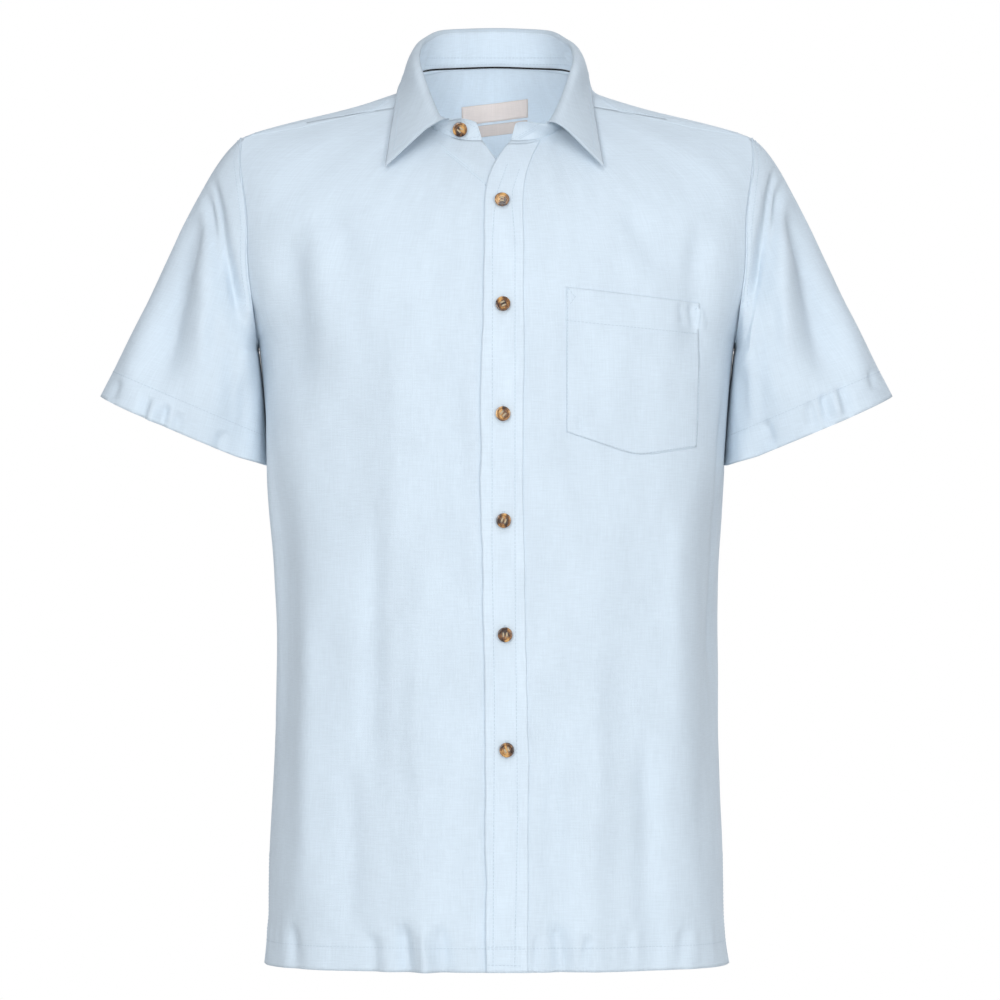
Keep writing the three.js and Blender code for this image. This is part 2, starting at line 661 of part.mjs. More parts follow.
// Sleeve, built for the wearer's left: round the armhole from the underarm up the back, over the
// shoulder and down the front, and then out to the cuff.
const armLoop = [
  ...backArmhole,
  ...yokeArmhole.slice(1),
  ...frontArmhole.slice(1, -1).reverse(),
];
function aroundShares(loop, topIndex) {
  const lengths = loop.map((p, j) => p.distanceTo(loop[(j + 1) % loop.length]));
  const sum = (from, to) => lengths.slice(from, to).reduce((a, b) => a + b, 0);
  const [backLength, frontLength] = [sum(0, topIndex), sum(topIndex, loop.length)];
  return loop.map((_, j) =>
    j <= topIndex
      ? (0.5 * sum(0, j)) / backLength
      : 0.5 + (0.5 * sum(topIndex, j)) / frontLength,
  );
}
function sleeveGrid() {
  const top = armLoop.reduce((best, p, j) => (p.z > armLoop[best].z ? j : best), 0);
  const shares = aroundShares(armLoop, top);
  const centre = CUFF_OUTER.clone().add(CUFF_INNER).multiplyScalar(0.5);
  const across = CUFF_INNER.clone().sub(centre);
  const power = 2 / CUFF_SQUARENESS;
  const cuffAt = (turn) => {
    const [c, s] = [Math.cos(turn), Math.sin(turn)];
    const deep = CUFF_HALF_DEPTH * Math.sign(s) * Math.abs(s) ** power;
    return centre
      .clone()
      .addScaledVector(across, Math.sign(c) * Math.abs(c) ** power)
      .add(vec(0, deep, CUFF_BACK_RISE * deep));
  };
  const cuff = evenly((t) => cuffAt(2 * Math.PI * t), CUFF_SAMPLES, CUFF_SAMPLES);
  const upper = steps(SLEEVE_ROWS - 2, 0, SLEEVE_HEM_SHARE - SLEEVE_HEM_STEP);
  const rows = [...upper, SLEEVE_HEM_SHARE, 1];
  const columns = armLoop.map((p, j) => {
    const turn = 2 * Math.PI * shares[j];
    const high = (1 - Math.cos(turn)) / 2;
    const leave = SLEEVE_LEAVE_UNDER.clone().lerp(SLEEVE_LEAVE_TOP, high);
    leave.y += SLEEVE_LEAVE_SIDE * Math.sin(turn);
    const arrive = SLEEVE_ARRIVE_INNER.clone().lerp(SLEEVE_ARRIVE_OUTER, high);
    const off = leave.clone().normalize().add(slopeOf(p).normalize()).setLength(SLEEVE_GAP);
    const start = p.clone().add(off);
    const end = cuff[Math.round(shares[j] * CUFF_SAMPLES)];
    return rows.map((t) =>
      vec(0, 0, 0)
        .addScaledVector(start, 2 * t ** 3 - 3 * t ** 2 + 1)
        .addScaledVector(leave, t ** 3 - 2 * t ** 2 + t)
        .addScaledVector(end, 3 * t ** 2 - 2 * t ** 3)
        .addScaledVector(arrive, t ** 3 - t ** 2),
    );
  });
  const plain = rows.map((_, i) => columns.map((column) => column[i]));
  const facing = normals(plain, true);
  return moved(
    plain,
    (p, i, j) => {
      const face = facing[i][j].y < 0 ? -1 : 1;
      const side = ease(Math.abs(facing[i][j].y) / 0.5);
      return side * ease(i / 2) * foldHeight(SLEEVE_FOLDS, p, face);
    },
    true,
  );
}
const sleeve = sleeveGrid();
const sleeveThick = (i) => (i > SLEEVE_ROWS - 2 ? HEM_CLOTH : CLOTH);
add("sleeve_left", wall(sleeve, sleeveThick, { wraps: true }), LINEN);
add("sleeve_right", wall(mirrored(sleeve), sleeveThick, { wraps: true }), LINEN);

// Collar stand and leaf
const outwards = (angle) => vec(Math.sin(angle * RAD), -Math.cos(angle * RAD), 0);
function standAt(angle, share) {
  const own = neckSide(angle);
  const lean = read(STAND, "angle", angle > 180 ? "rightLean" : "leftLean", own) * RAD;
  const rounded = Math.sqrt(1 - (1 - clamp01((own - FRONT_NECK_END) / STAND_END_ROUND)) ** 2);
  const height = read(STAND, "angle", "height", own) * lerp(STAND_END_SHARE, 1, rounded);
  const toward = outwards(read(STAND, "angle", "toward", own));
  if (angle > 180) toward.x *= -1;
  const up = vec(0, 0, Math.cos(lean)).addScaledVector(toward, -Math.sin(lean));
  return { point: neckAt(angle).addScaledVector(up, STAND_SEAM + height * share), up };
}
const stand = steps(STAND_ROWS, 0, 1).map((share) => NECK.map((angle) => standAt(angle, share).point));
add("collar_stand", wall(stand, COLLAR_CLOTH, { squareTo: ["bottom"] }), LINEN);

const leafAngles = NECK.slice(BAND_COLUMNS + 1, NECK.length - BAND_COLUMNS - 1);
const standInner = normals(stand, false)[STAND_ROWS];
const leafColumns = leafAngles.map((angle, k) => {
  const own = neckSide(angle);
  const { point, up } = standAt(angle, 1);
  const roll = read(STAND, "angle", "roll", own);
  const out = outwards(angle);
  const from = point.clone().addScaledVector(standInner[BAND_COLUMNS + 1 + k], -COLLAR_CLOTH);
  from.addScaledVector(up, FOLD_SEAM);
  const edge = vec(...["x", "y", "z"].map((axis) => read(LEAF_EDGE, "angle", axis, own)));
  if (angle > 180) edge.x *= -1;
  else edge.x -= LEAF_LEFT_IN * Math.sin(angle * RAD);
  const lift = read(LEAF_EDGE, "angle", "lift", own);
  const rest = settle(edge);
  rest.addScaledVector(slopeOf(rest).normalize(), lift);
  const rolled = (place) =>
    from.clone().addScaledVector(up, place.up * roll).addScaledVector(out, place.out * roll);
  const path = [from, rolled(CROWN), rolled(TURN), rest];
  const curve = new THREE.CatmullRomCurve3(path, false, "centripetal");
  const size = roll / curve.getLength();
  const shares = [
    ...ROLL_ROWS.map((row) => row * size),
    ...steps(LEAF_FLAT_ROWS, ROLL_END * size, 1),
  ];
  return shares.map((share) => {
    const p = curve.getPointAt(clamp01(share));
    const away = outside(p) / slopeOf(p).length();
    const least = COLLAR_CLOTH + LEAF_CLEAR;
    if (share < LEAF_ROLLED || away >= least) return p;
    return p.addScaledVector(slopeOf(p).normalize(), least - away);
  });
});
const leafRows = leafColumns[0].length;
const leaf = Array.from({ length: leafRows }, (_, i) => leafColumns.map((c) => c[leafRows - 1 - i]));
const foldNormals = leafAngles.map((_, k) => standInner[BAND_COLUMNS + 1 + k].clone().negate());
add("collar_leaf", wall(leaf, COLLAR_CLOTH, { topNormals: foldNormals }), LINEN);

// Placket on the left front's opening edge, made from that panel's own points
const band = leftFront.map((row) => row.slice(0, BAND_COLUMNS + 1));
const raised = moved(band, () => LAP + CLOTH);
const neckRow = raised.pop();
const placket = [
  ...raised,
  neckRow.map((p, j) => p.lerp(raised[raised.length - 1][j], 1 - PLACKET_TOP_SHARE)),
];
add("placket", wall(placket, CLOTH), LINEN);

// The point of a panel seen straight from the front or back at x and z, and its normal.
function onPanel(grid, x, z) {
  const triangle = new THREE.Triangle();
  const at = vec(x, 0, z);
  const seen = vec(0, 0, 0);
  for (let i = 0; i < grid.length - 1; i++)
    for (let j = 0; j < grid[0].length - 1; j++) {
      const [a, b, c, d] = [grid[i][j], grid[i][j + 1], grid[i + 1][j + 1], grid[i + 1][j]];
      for (const corners of [[a, b, c], [a, c, d]]) {
        const flat = corners.map((p) => vec(p.x, 0, p.z));
        triangle.set(...flat);
        if (triangle.getArea() < 1e-6 || !triangle.containsPoint(at)) continue;
        triangle.getBarycoord(at, seen);
        const point = vec(0, 0, 0);
        corners.forEach((p, k) => point.addScaledVector(p, seen.getComponent(k)));
        return { point, normal: triangle.set(...corners).getNormal(vec(0, 0, 0)) };
      }
    }
  throw new Error(`no cloth at x ${x}, z ${z}`);
}

// Chest pocket
const pocketGrid = steps(POCKET_ROWS, 0, 1).map((up) =>
  steps(POCKET_COLUMNS, 0, 1).map((share) => {
    const x = lerp(POCKET.left, lerp(POCKET.rightLow, POCKET.right, up), share);
    const top = lerp(POCKET.topLeft, POCKET.topRight, share);
    const point = POCKET.pointShare;
    const low =
      share < point
        ? lerp(POCKET.lowLeft, POCKET.point, share / point)
        : lerp(POCKET.point, POCKET.lowRight, (share - point) / (1 - point));
    const { point: on } = onPanel(leftFront, x, lerp(low, top, up));
    return on;
  }),
);
add("pocket", wall(moved(pocketGrid, () => POCKET_LAP + CLOTH), CLOTH), LINEN);

// Buttons: round, with four holes
function buttonGeometry() {
  const round = new THREE.Shape().absarc(0, 0, BUTTON_RADIUS, 0, 2 * Math.PI);
  for (const [x, y] of [[1, 1], [-1, 1], [-1, -1], [1, -1]]) {
    const hole = new THREE.Path();
    const [cx, cy] = [x * BUTTON_HOLE_PITCH, y * BUTTON_HOLE_PITCH];
    hole.absarc(cx, cy, BUTTON_HOLE_RADIUS, 0, 2 * Math.PI, true);
    round.holes.push(hole);
  }
  const flat = { depth: BUTTON_THICKNESS, bevelEnabled: false, curveSegments: BUTTON_SEGMENTS };
  return new THREE.ExtrudeGeometry(round, flat);
}
// Seats a button on a panel: square to the cloth round it, and clear of every spot under its rim.
function addButton(name, panel, x, z) {
  const { point } = onPanel(panel, x, z);
  const under = steps(RIM_SPOTS - 1, 0, (2 * Math.PI * (RIM_SPOTS - 1)) / RIM_SPOTS).map((turn) =>
    onPanel(panel, x + BUTTON_SEAT * Math.cos(turn), z + BUTTON_SEAT * Math.sin(turn)),
  );
  const normal = vec(0, 0, 0);
  under.forEach((spot) => normal.add(spot.normal));
  normal.normalize();
  const highest = Math.max(0, ...under.map((spot) => spot.point.clone().sub(point).dot(normal)));
  const button = add(name, buttonGeometry(), TORTOISE);
  button.position.copy(point).addScaledVector(normal, highest + BUTTON_LIFT);
  button.quaternion.setFromUnitVectors(vec(0, 0, 1), normal);
}
for (const { name, x, z } of FRONT_BUTTONS) addButton(name, placket, x, z);
const collarButton = standAt(360 - COLLAR_BUTTON_ANGLE, COLLAR_BUTTON_SHARE).point;
addButton("button_collar", stand, collarButton.x, collarButton.z);

// Label, tab and neck tape inside the back of the neck
function labelGrid(label) {
  const lean = Math.tan(label.tilt * RAD);
  return steps(LABEL_ROWS, 0, 1).map((up) =>
    steps(LABEL_COLUMNS, 1, 0).map((share) => {
      const x = label.x + (share - 0.5) * label.width;
      const z = label.top - (1 - up) * label.height + lean * (x - label.x);
      const { point, normal } = onPanel(yoke, x, z);
      return point.addScaledVector(normal, -(CLOTH + LABEL_LAP));
    }),
  );
}
add("label", wall(labelGrid(LABEL), LABEL_CLOTH), LABEL_TWILL);
add("label_tab", wall(labelGrid(TAB), LABEL_CLOTH), LABEL_TWILL);

const tapeAngles = BACK_NECK.filter((angle) => Math.min(angle, 360 - angle) >= TAPE_ANGLE);
const tape = [TAPE_RAISE, TAPE_RAISE + TAPE_HEIGHT].map((height) =>
  tapeAngles.map((angle) => {
    const share = height / read(STAND, "angle", "height", neckSide(angle));
    return standAt(angle, share).point.addScaledVector(outwards(angle), -(COLLAR_CLOTH + TAPE_LAP));
  }),
);
add("neck_tape", wall(tape, TAPE_CLOTH), BLACK_TAPE);

export default shirt;
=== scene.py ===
import json
import math

import bmesh
import bpy
import numpy as np
from bpy.props import FloatProperty, FloatVectorProperty, IntProperty, PointerProperty
from mathutils import Matrix, Vector
from mathutils.bvhtree import BVHTree

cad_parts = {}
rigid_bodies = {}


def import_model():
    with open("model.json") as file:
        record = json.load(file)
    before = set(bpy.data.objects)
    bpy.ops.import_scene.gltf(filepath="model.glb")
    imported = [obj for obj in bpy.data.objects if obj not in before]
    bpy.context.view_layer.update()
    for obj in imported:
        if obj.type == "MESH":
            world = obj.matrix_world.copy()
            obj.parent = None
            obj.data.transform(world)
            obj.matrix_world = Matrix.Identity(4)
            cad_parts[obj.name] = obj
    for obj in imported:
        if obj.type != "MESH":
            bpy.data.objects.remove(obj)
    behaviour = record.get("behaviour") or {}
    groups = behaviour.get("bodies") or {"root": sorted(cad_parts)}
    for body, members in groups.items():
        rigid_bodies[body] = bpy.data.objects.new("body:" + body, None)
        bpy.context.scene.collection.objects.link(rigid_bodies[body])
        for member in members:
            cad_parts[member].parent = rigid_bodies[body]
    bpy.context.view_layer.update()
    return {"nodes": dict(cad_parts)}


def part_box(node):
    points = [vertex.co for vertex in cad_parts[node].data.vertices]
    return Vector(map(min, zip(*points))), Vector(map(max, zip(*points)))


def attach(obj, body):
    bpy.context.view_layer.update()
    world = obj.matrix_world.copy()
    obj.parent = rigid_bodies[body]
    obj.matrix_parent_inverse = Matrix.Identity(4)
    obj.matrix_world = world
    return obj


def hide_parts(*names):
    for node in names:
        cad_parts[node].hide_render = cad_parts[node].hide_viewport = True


bl_info = {
    "name": "Bush Shirt",
    "version": (1, 0, 0),
    "blender": (4, 5, 0),
    "location": "3D View > Sidebar > Shirt",
    "description": "Builds a short-sleeved linen shirt with its buttons, stitching and label",
    "category": "Object",
}

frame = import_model()
MM = 0.001

# The photograph's frame: millimetres to a pixel, and the pixel of the model's origin
PIXEL = 0.87
ORIGIN_X = 496.5
ORIGIN_Y = 92
PHOTO_SIDE = 1000
PHOTO_MIDDLE = 500

# The body's rough form, for the way out of its surface
BODY_SIDE = 0.205
BODY_DEPTH = 0.125
BODY_MIDDLE = 0.003  # front to back
SHOULDER_FROM = -0.14  # height at which the cloth starts to turn over the shoulder
SHOULDER_RUN = 0.12
SHOULDER_UP = 12.0

# The left sleeve's axis, from the armhole to the cuff
SLEEVE_TOP = Vector((0.226, 0.005, -0.130))
SLEEVE_CUFF = Vector((0.273, 0.005, -0.295))
SLEEVE_ROUND = 0.072
SLEEVE_FOOT = -0.33  # a height below the cuff
# Its small unevenness: how close round, length along, shift of the noise from side to side, and share
SLEEVE_FOLDS = [(2.1, 0.09, 1, 0, 1.1), (5, 0.03, 0, 3, 0.4)]
SLEEVE_SIDE = 0.238  # the sleeve's inner side, inside this, hangs against the body
SLEEVE_SIDE_RUN = 0.026
SLEEVE_SIDE_EASE = 0.7  # share of the run over which it sets in
SLEEVE_SIDE_FROM = -0.2
SLEEVE_SIDE_FALL = 0.014
SLEEVE_SIDE_STEP = 0.003
SLEEVE_SIDE_IN = 0.012  # the most that it is brought in
SLEEVE_SIDE_GAP = 0.0004  # and the gap that is left
SLEEVE_CORNER = 0.232  # inside this, the sleeve's front and back run on flat before they turn
SLEEVE_CORNER_ABOVE = 0.02  # it starts this far above the inner side
SLEEVE_CORNER_RUN = 0.022
SLEEVE_CORNER_OUT = 0.007
SLEEVE_CORNER_TURN = 2.5

SEAM_FADE = 0.012  # the cloth is calm this near the armhole seam
SEAM_CLOSED = 0.0011  # edges this near each other are sewn together
SEAM_SHARE = 0.55  # how far each goes towards the other
BUTTON_STILL = 0.006  # the cloth lies still this near a button's middle
BUTTON_CALM = 0.016
NECK_MIDDLE = (0, 0, -0.01)
NECK_STILL = 0.085
NECK_CALM = 0.15
NECK_SHARE = 0.12  # share of the creases' height that is kept at the neck
NECK_ROUND = 0.075
ROLL_LINE = (0.041, -0.019), (0.058, 0.020)  # the leaf's inner edge, across and up
ROLL_BEHIND = 0.02  # the roll leans only in front of this
ROLL_REACH = 0.030
ROLL_OUT = 0.0065
ROLL_FRONT = 0.0035
ROLL_DOWN = 0.0075
TAPE_HALF = 0.058
TAPE_NARROW = 0.7
TAPE_DOWN = -0.0022
TAPE_ENDS_UP = 0.0034
BAND_EDGES = [(-0.011, 0.0011), (0.026, 0.0008)]  # where each lies across, and how far it wanders
EDGE_WAVES = [(0.034, 3.3, 6.5, 1), (0.012, 8.3, 2.5, 0.6)]  # length, layers of the noise, share
EDGE_APART = 4  # from one edge's layer to the other's
EDGE_NEAR = 0.006
EDGE_FROM = -0.09
EDGE_RUN = 0.03

# Small unevenness: length round and up, layer of the noise, and share
FOLDS = [(0.042, 0.17, 2.5, 1), (0.017, 0.050, 7.5, 0.35), (0.009, 0.016, 4.5, 0.12)]
PUCKER = (0.0085, 0.06, 12.5)  # at the hem: length round and up, and layer
PUCKER_HEIGHT = 0.0021
PUCKER_FROM = -0.714
PUCKER_RUN = 0.016
DRAWN = (0.02, 0.03, 0.0115, 15.5)  # slanting puckers in the placket: lengths and layer
DRAWN_HEIGHT = 0.0009
DRAWN_SHARE = 0.35
DRAWN_LOW = (-0.5, 0.2)  # they grow from this height, over this run
BAND_MIDDLE = 0.007
BAND_HALF = 0.013
BAND_RUN = 0.004

# How a crease lies: on which face, how it wanders and how its depth changes, over runs in mm
FACE_TURN = 1.6  # how soon a face's creases set in as the cloth turns to it
SIDE_TURN = 0.4
WANDER = 0.35
WANDER_RUN = 45
WANDER_LAYERS = (3.7, 1.5)
DEPTH_CHANGE = 0.4
DEPTH_RUN = 60
DEPTH_LAYERS = (5.1, 9.5)
FADE_IN = 0.3  # shares of its length
FADE_OUT = 0.35
OPEN_END = -750  # a crease that ends below this runs out through the hem
HEAD_WIDTH = 0.75  # a crease's width at its head, and what it gains on its way
FOOT_WIDTH = 0.5

# Soft creases: the face they lie on, where they start and end across and up, width and depth, in mm
CREASES = [
    ("front", -180, -110, -172, -300, 20, -7),
    ("front", -150, -86, -146, -250, 18, 4.4),
    ("front", -156, -96, -116, -160, 14, -3.7),
    ("front", -182, -300, -186, -700, 15, -6),
    ("front", -104, -330, -110, -640, 11, -4.1),
    ("front", -86, -200, -84, -420, 14, 3.4),
    ("front", -66, -430, -60, -757, 12, 3.7),
    ("front", -34, -140, -30, -520, 9, -2.3),
    ("front", -128, -560, -122, -757, 12, -4.4),
    ("front", -160, -420, -166, -740, 12, 4.4),
    ("front", 44, -150, 48, -420, 12, 2.6),
    ("front", 46, -520, 54, -757, 11, -4.1),
    ("front", 84, -450, 84, -757, 13, 3.7),
    ("front", 126, -540, 134, -757, 11, -4.4),
    ("front", 150, -340, 160, -620, 14, 4.1),
    ("front", 186, -300, 188, -720, 14, -6),
    ("front", 176, -110, 168, -250, 12, -4.8),
    ("front", 110, -100, 150, -165, 13, -3.7),
    ("front", -104, -722, -105, -757, 6, -5.8),
    ("front", -80, -712, -76, -757, 6.5, -6.1),
    ("front", -62, -716, -60, -757, 4.5, 4.1),
    ("front", -48, -714, -46, -757, 7, -6.5),
    ("front", 34, -722, 33, -757, 3.5, -3.6),
    ("front", 52, -712, 56, -757, 8, -6.1),
    ("front", 78, -722, 74, -757, 5, -4.3),
    ("front", -176, -716, -172, -757, 6, -4.1),
    ("front", 160, -718, 158, -757, 6, -4.1),
    ("back", -190, -130, -178, -330, 11, -6.8),
    ("back", -150, -100, -140, -360, 16, 5.8),
    ("back", -96, -110, -84, -520, 14, -6.2),
    ("back", -30, -110, -36, -430, 16, 4.9),
    ("back", 28, -160, 34, -560, 14, -5.8),
    ("back", 98, -110, 90, -480, 15, 5.4),
    ("back", 152, -100, 138, -330, 14, -6.2),
    ("back", 188, -140, 180, -420, 12, 5.8),
    ("back", -160, -480, -168, -757, 13, -5.8),
    ("back", -112, -560, -104, -757, 14, 4.9),
    ("back", -10, -560, 4, -757, 14, -5.4),
    ("back", 84, -600, 92, -757, 13, 4.9),
    ("back", 150, -520, 160, -757, 13, -5.8),
    ("back", 60, -714, 58, -757, 7, -5.1),
    ("back", -60, -716, -64, -757, 7, -5.1),
    ("left", -40, -240, -20, -560, 12, -4.9),
    ("left", 34, -230, 24, -640, 14, 4.9),
    ("left", 66, -260, 58, -520, 11, -4.5),
    ("right", -34, -240, -26, -620, 13, 4.9),
    ("right", 30, -230, 22, -520, 12, -4.9),
    ("right", 70, -300, 60, -640, 12, 4.5),
    ("front", -43, -53, -8, -80, 2.2, -2.4),
    ("front", -40, -49, -5, -76, 2.6, 2.4),
    ("front", 13, -50, 5, -86, 3, -2.4),
    ("front", 22, -54, 16, -84, 3, 2.4),
    ("front", 157, -184, 163, -208, 3, -1.7),
    ("front", 168, -184, 173, -212, 3, -2),
    ("front", 176, -186, 180, -212, 2.6, 1.8),
    ("front", 68, -284, 76, -300, 3, -1.8),
]

# The same on the left sleeve; the right one has them mirrored and a little moved
SLEEVE_CREASES = [
    ("front", 248, -50, 210, -214, 5.5, -9),
    ("front", 257, -48, 224, -212, 6, -7.5),
    ("front", 249, -100, 219, -235, 6, 3.3),
    ("front", 263, -62, 295, -276, 18, -16),
    ("front", 252, -106, 240, -290, 11, 6),
    ("front", 240, -170, 246, -268, 8, -3.9),
    ("front", 296, -150, 322, -262, 10, 3),
    ("front", 216, -230, 212, -320, 6, -3.9),
    ("front", 298, -250, 306, -286, 4.5, -5.1),
    ("front", 290, -256, 296, -288, 3.5, 3.6),
    ("front", 282, -260, 288, -292, 4.5, -4.8),
    ("front", 268, -268, 274, -298, 4.5, -3.6),
    ("front", 322, -240, 330, -262, 4, -3.6),
    ("front", 232, -284, 238, -312, 5, -3),
    ("back", 240, -70, 228, -220, 9, -5.4),
    ("back", 264, -90, 284, -262, 12, 4.5),
    ("back", 286, -130, 306, -272, 10, -4.8),
    ("back", 246, -200, 250, -300, 9, -4.2),
    ("back", 290, -250, 297, -286, 5, -3.9),
]
RIGHT_SLEEVE_MOVED = (4, -9)

# Each sheet of cloth: its flat cut with turnings, width, length and area, and what holds it
CUTS = {
    "front_left": (0.325, 0.760, 0.216, "hung"),
    "front_right": (0.325, 0.760, 0.216, "hung"),
    "back": (0.580, 0.690, 0.385, "hung"),
    "yoke": (0.470, 0.200, 0.062, "draped"),
    "sleeve_left": (0.440, 0.270, 0.080, "hung"),
    "sleeve_right": (0.440, 0.270, 0.080, "hung"),
    "collar_stand": (0.440, 0.036, 0.0135, "folded"),
    "collar_leaf": (0.450, 0.075, 0.0240, "folded"),
    "placket": (0.036, 0.720, 0.0255, "laid"),
    "pocket": (0.120, 0.150, 0.0160, "laid"),
    "label": (0.059, 0.0155, None, "laid"),
    "label_tab": (0.046, 0.010, None, "laid"),
}
# What each laid piece is pressed onto, its solid's gap there, and the share of its thickness kept
PRESSED = {
    "placket": ("front_left", 0.00045, 0.5),
    "pocket": ("front_left", 0.0013, 0.32),
    "label": ("yoke", 0.0009, 0.35),
    "label_tab": ("yoke", 0.0009, 0.35),
    "neck_tape": ("collar_stand", 0.0008, 0.6),
}
PRESSED_GAP = 0.00012
TINY = 1e-6
MERGED = 0.00001  # points this near are one
QUAD_TURN = 40  # degrees: triangles that turn less, and are skewed less, become quads
QUAD_SKEW = 60
SHARP = 50  # degrees: edges that turn more stay sharp
SEWN_NODES = ["front_left", "front_right", "back", "yoke", "sleeve_left", "sleeve_right"]
SEWN_NODES += ["collar_stand", "collar_leaf"]
LEVELS = {"back": 2, "label": 2, "label_tab": 2, "neck_tape": 2}
USUAL_LEVELS = 3
# Pieces that are a shade paler or darker than their slot's cloth: painted light on the placket, painted
# shade on the collar leaf, and a darker label tab
SHADES = {"placket": "painted_light", "collar_leaf": "leaf", "label_tab": "tab"}
SLOTS = {"label": "label", "label_tab": "label", "neck_tape": "tape"}
BUTTON_NODES = [f"button_{i}" for i in range(1, 7)] + ["button_collar"]


class ShirtSettings(bpy.types.PropertyGroup):
    """Sizes and colours of the shirt."""

    linen_colour: FloatVectorProperty(
        name="Linen", description="Colour of the cloth", subtype="COLOR", default=(0.64, 0.738, 0.825)
    )
    thread_colour: FloatVectorProperty(
        name="Thread", description="Colour of the stitching", subtype="COLOR", default=(0.60, 0.70, 0.79)
    )
    label_colour: FloatVectorProperty(
        name="Label", description="Colour of the woven label", subtype="COLOR", default=(0.765, 0.685, 0.645)
    )
    button_dark: FloatVectorProperty(
        name="Button dark", description="Dark of the buttons", subtype="COLOR", default=(0.030, 0.012, 0.006)
    )
    button_light: FloatVectorProperty(
        name="Button light", description="Amber of the buttons", subtype="COLOR", default=(0.60, 0.33, 0.10)
    )
    crease: FloatProperty(name="Creases", description="Depth of the creases", default=1.0, min=0, max=2)
    crumple: FloatProperty(
        name="Crumple", description="Height of the uneven cloth", default=0.0007, unit="LENGTH"
    )
    stitch: FloatProperty(
        name="Stitch", description="Length of one stitch", default=0.0024, unit="LENGTH"
    )
    pitch: FloatProperty(
        name="Stitch pitch", description="From one stitch to the next", default=0.0033, unit="LENGTH"
    )
    weave: FloatProperty(
        name="Weave", description="Pitch of the threads", default=0.0007, unit="LENGTH"
    )
    segments: IntProperty(name="Button sides", description="Sides of a button", default=40, min=12)


def settings():
    return bpy.context.scene.shirt


# Materials


class Socket:
    """One socket of a node tree, on which expressions can be written."""

    def __init__(self, tree, link):
        self.tree = tree
        self.link = link

    def math(self, operation, *others):
        values = [other.link if isinstance(other, Socket) else other for other in (self, *others)]
        return Material.node_in(self.tree, "ShaderNodeMath", {"operation": operation}, values)

    def __add__(self, other):
        return self.math("ADD", other)

    def __mul__(self, other):
        return self.math("MULTIPLY", other)

    def __sub__(self, other):
        return self.math("SUBTRACT", other)


class Material:
    """A procedural material built from one Principled shader."""

    def __init__(self, name):
        self.material = bpy.data.materials.new(name)
        self.material.use_nodes = True
        self.tree = self.material.node_tree
        self.shader = self.tree.nodes["Principled BSDF"]

    @staticmethod
    def node_in(tree, kind, options, values, out=0):
        node = tree.nodes.new(kind)
        for key, value in options.items():
            if key == "stops":
                ramp = node.color_ramp
                while len(ramp.elements) < len(value):
                    ramp.elements.new(0.5)
                for element, (place, colour) in zip(ramp.elements, value):
                    element.position = place
                    element.color = (*colour, 1)
            else:
                setattr(node, key, value)
        pairs = values.items() if isinstance(values, dict) else enumerate(values)
        for key, value in pairs:
            value = value.link if isinstance(value, Socket) else value
            if isinstance(value, bpy.types.NodeSocket):
                tree.links.new(value, node.inputs[key])
            else:
                node.inputs[key].default_value = value
        return Socket(tree, node.outputs[out])

    def node(self, kind, options=None, values=(), out=0):
        return self.node_in(self.tree, kind, options or {}, values, out)

    def mix(self, factor, a, b):
        """Two colours mixed by a factor. The node's colour sockets are its sixth and seventh."""
        one, two = [(*v, 1) if isinstance(v, tuple) else v for v in (a, b)]
        return self.node("ShaderNodeMix", {"data_type": "RGBA"}, {0: factor, 6: one, 7: two}, 2)

    def noise(self, vector, scale, detail=2.0, stretch=(1, 1, 1)):
        mapped = self.node("ShaderNodeMapping", {}, {"Vector": vector, "Scale": stretch})
        values = {"Vector": mapped, "Scale": scale, "Detail": detail}
        return self.node("ShaderNodeTexNoise", {}, values)

    def bump(self, height, distance, strength):
        values = {"Height": height, "Distance": distance, "Strength": strength}
        return self.node("ShaderNodeBump", {}, values)

    def set(self, **values):
        for key, value in values.items():
            socket = self.shader.inputs[key.replace("_", " ")]
            if isinstance(value, Socket):
                self.tree.links.new(value.link, socket)
            else:
                socket.default_value = (*value, 1) if isinstance(value, tuple) else value
        return self.material


CLOTH_DEEP = 0.00006  # relief of the weave
LABEL_DEEP = 0.00004
TAPE_DEEP = 0.00005
SLUB_WIDE = 0.62  # how close slubs lie across the threads, to the weave's pitch
WARP_RUN = 48  # and how close along them, to the metre
WEFT_RUN = 75
CLOUDS = (44, 15, 1)
PALE = (1.05, 0.006)  # times the colour, and added to it
DARK = 0.91
SLUB_SHADE = 0.62
CLOUD_SHADE = 0.38
SHADE_FROM = 0.32
SHADE_GAIN = 2.6
THREAD_RELIEF = 0.35
SLUB_RELIEF = 1.6
CLOUD_RELIEF = 0.6


def linen(name, colour, weave, deep=CLOTH_DEEP):
    """Plain woven linen: crossing threads of uneven thickness, with slubs."""
    m = Material(name)
    uv = m.node("ShaderNodeUVMap", {"uv_map": "weave"})
    across = m.node("ShaderNodeSeparateXYZ", {}, [uv])
    along = Socket(m.tree, across.link.node.outputs[1])
    warp = m.noise(uv, 1.0, 2.0, (SLUB_WIDE / weave, WARP_RUN, 1))
    weft = m.noise(uv, 1.0, 2.0, (WEFT_RUN, SLUB_WIDE / weave, 1))
    cloud = m.noise(uv, 1.0, 4.0, CLOUDS)
    turn = 2 * math.pi / weave
    threads = (across * turn).math("SINE") * (along * turn).math("SINE")
    slubs = (warp + weft) * 0.5
    pale = tuple(min(1.0, c * PALE[0] + PALE[1]) for c in colour)
    dark = tuple(c * DARK for c in colour)
    shade = (slubs * SLUB_SHADE + cloud * CLOUD_SHADE - SHADE_FROM) * SHADE_GAIN
    colour_out = m.mix(shade.math("MINIMUM", 1.0), dark, pale)
    height = threads * THREAD_RELIEF + slubs * SLUB_RELIEF + cloud * CLOUD_RELIEF
    return m.set(
        Base_Color=colour_out,
        Roughness=0.93,
        Specular_IOR_Level=0.22,
        Sheen_Weight=0.12,
        Sheen_Roughness=0.5,
        Normal=m.bump(height, distance=deep * 4, strength=0.75),
    )


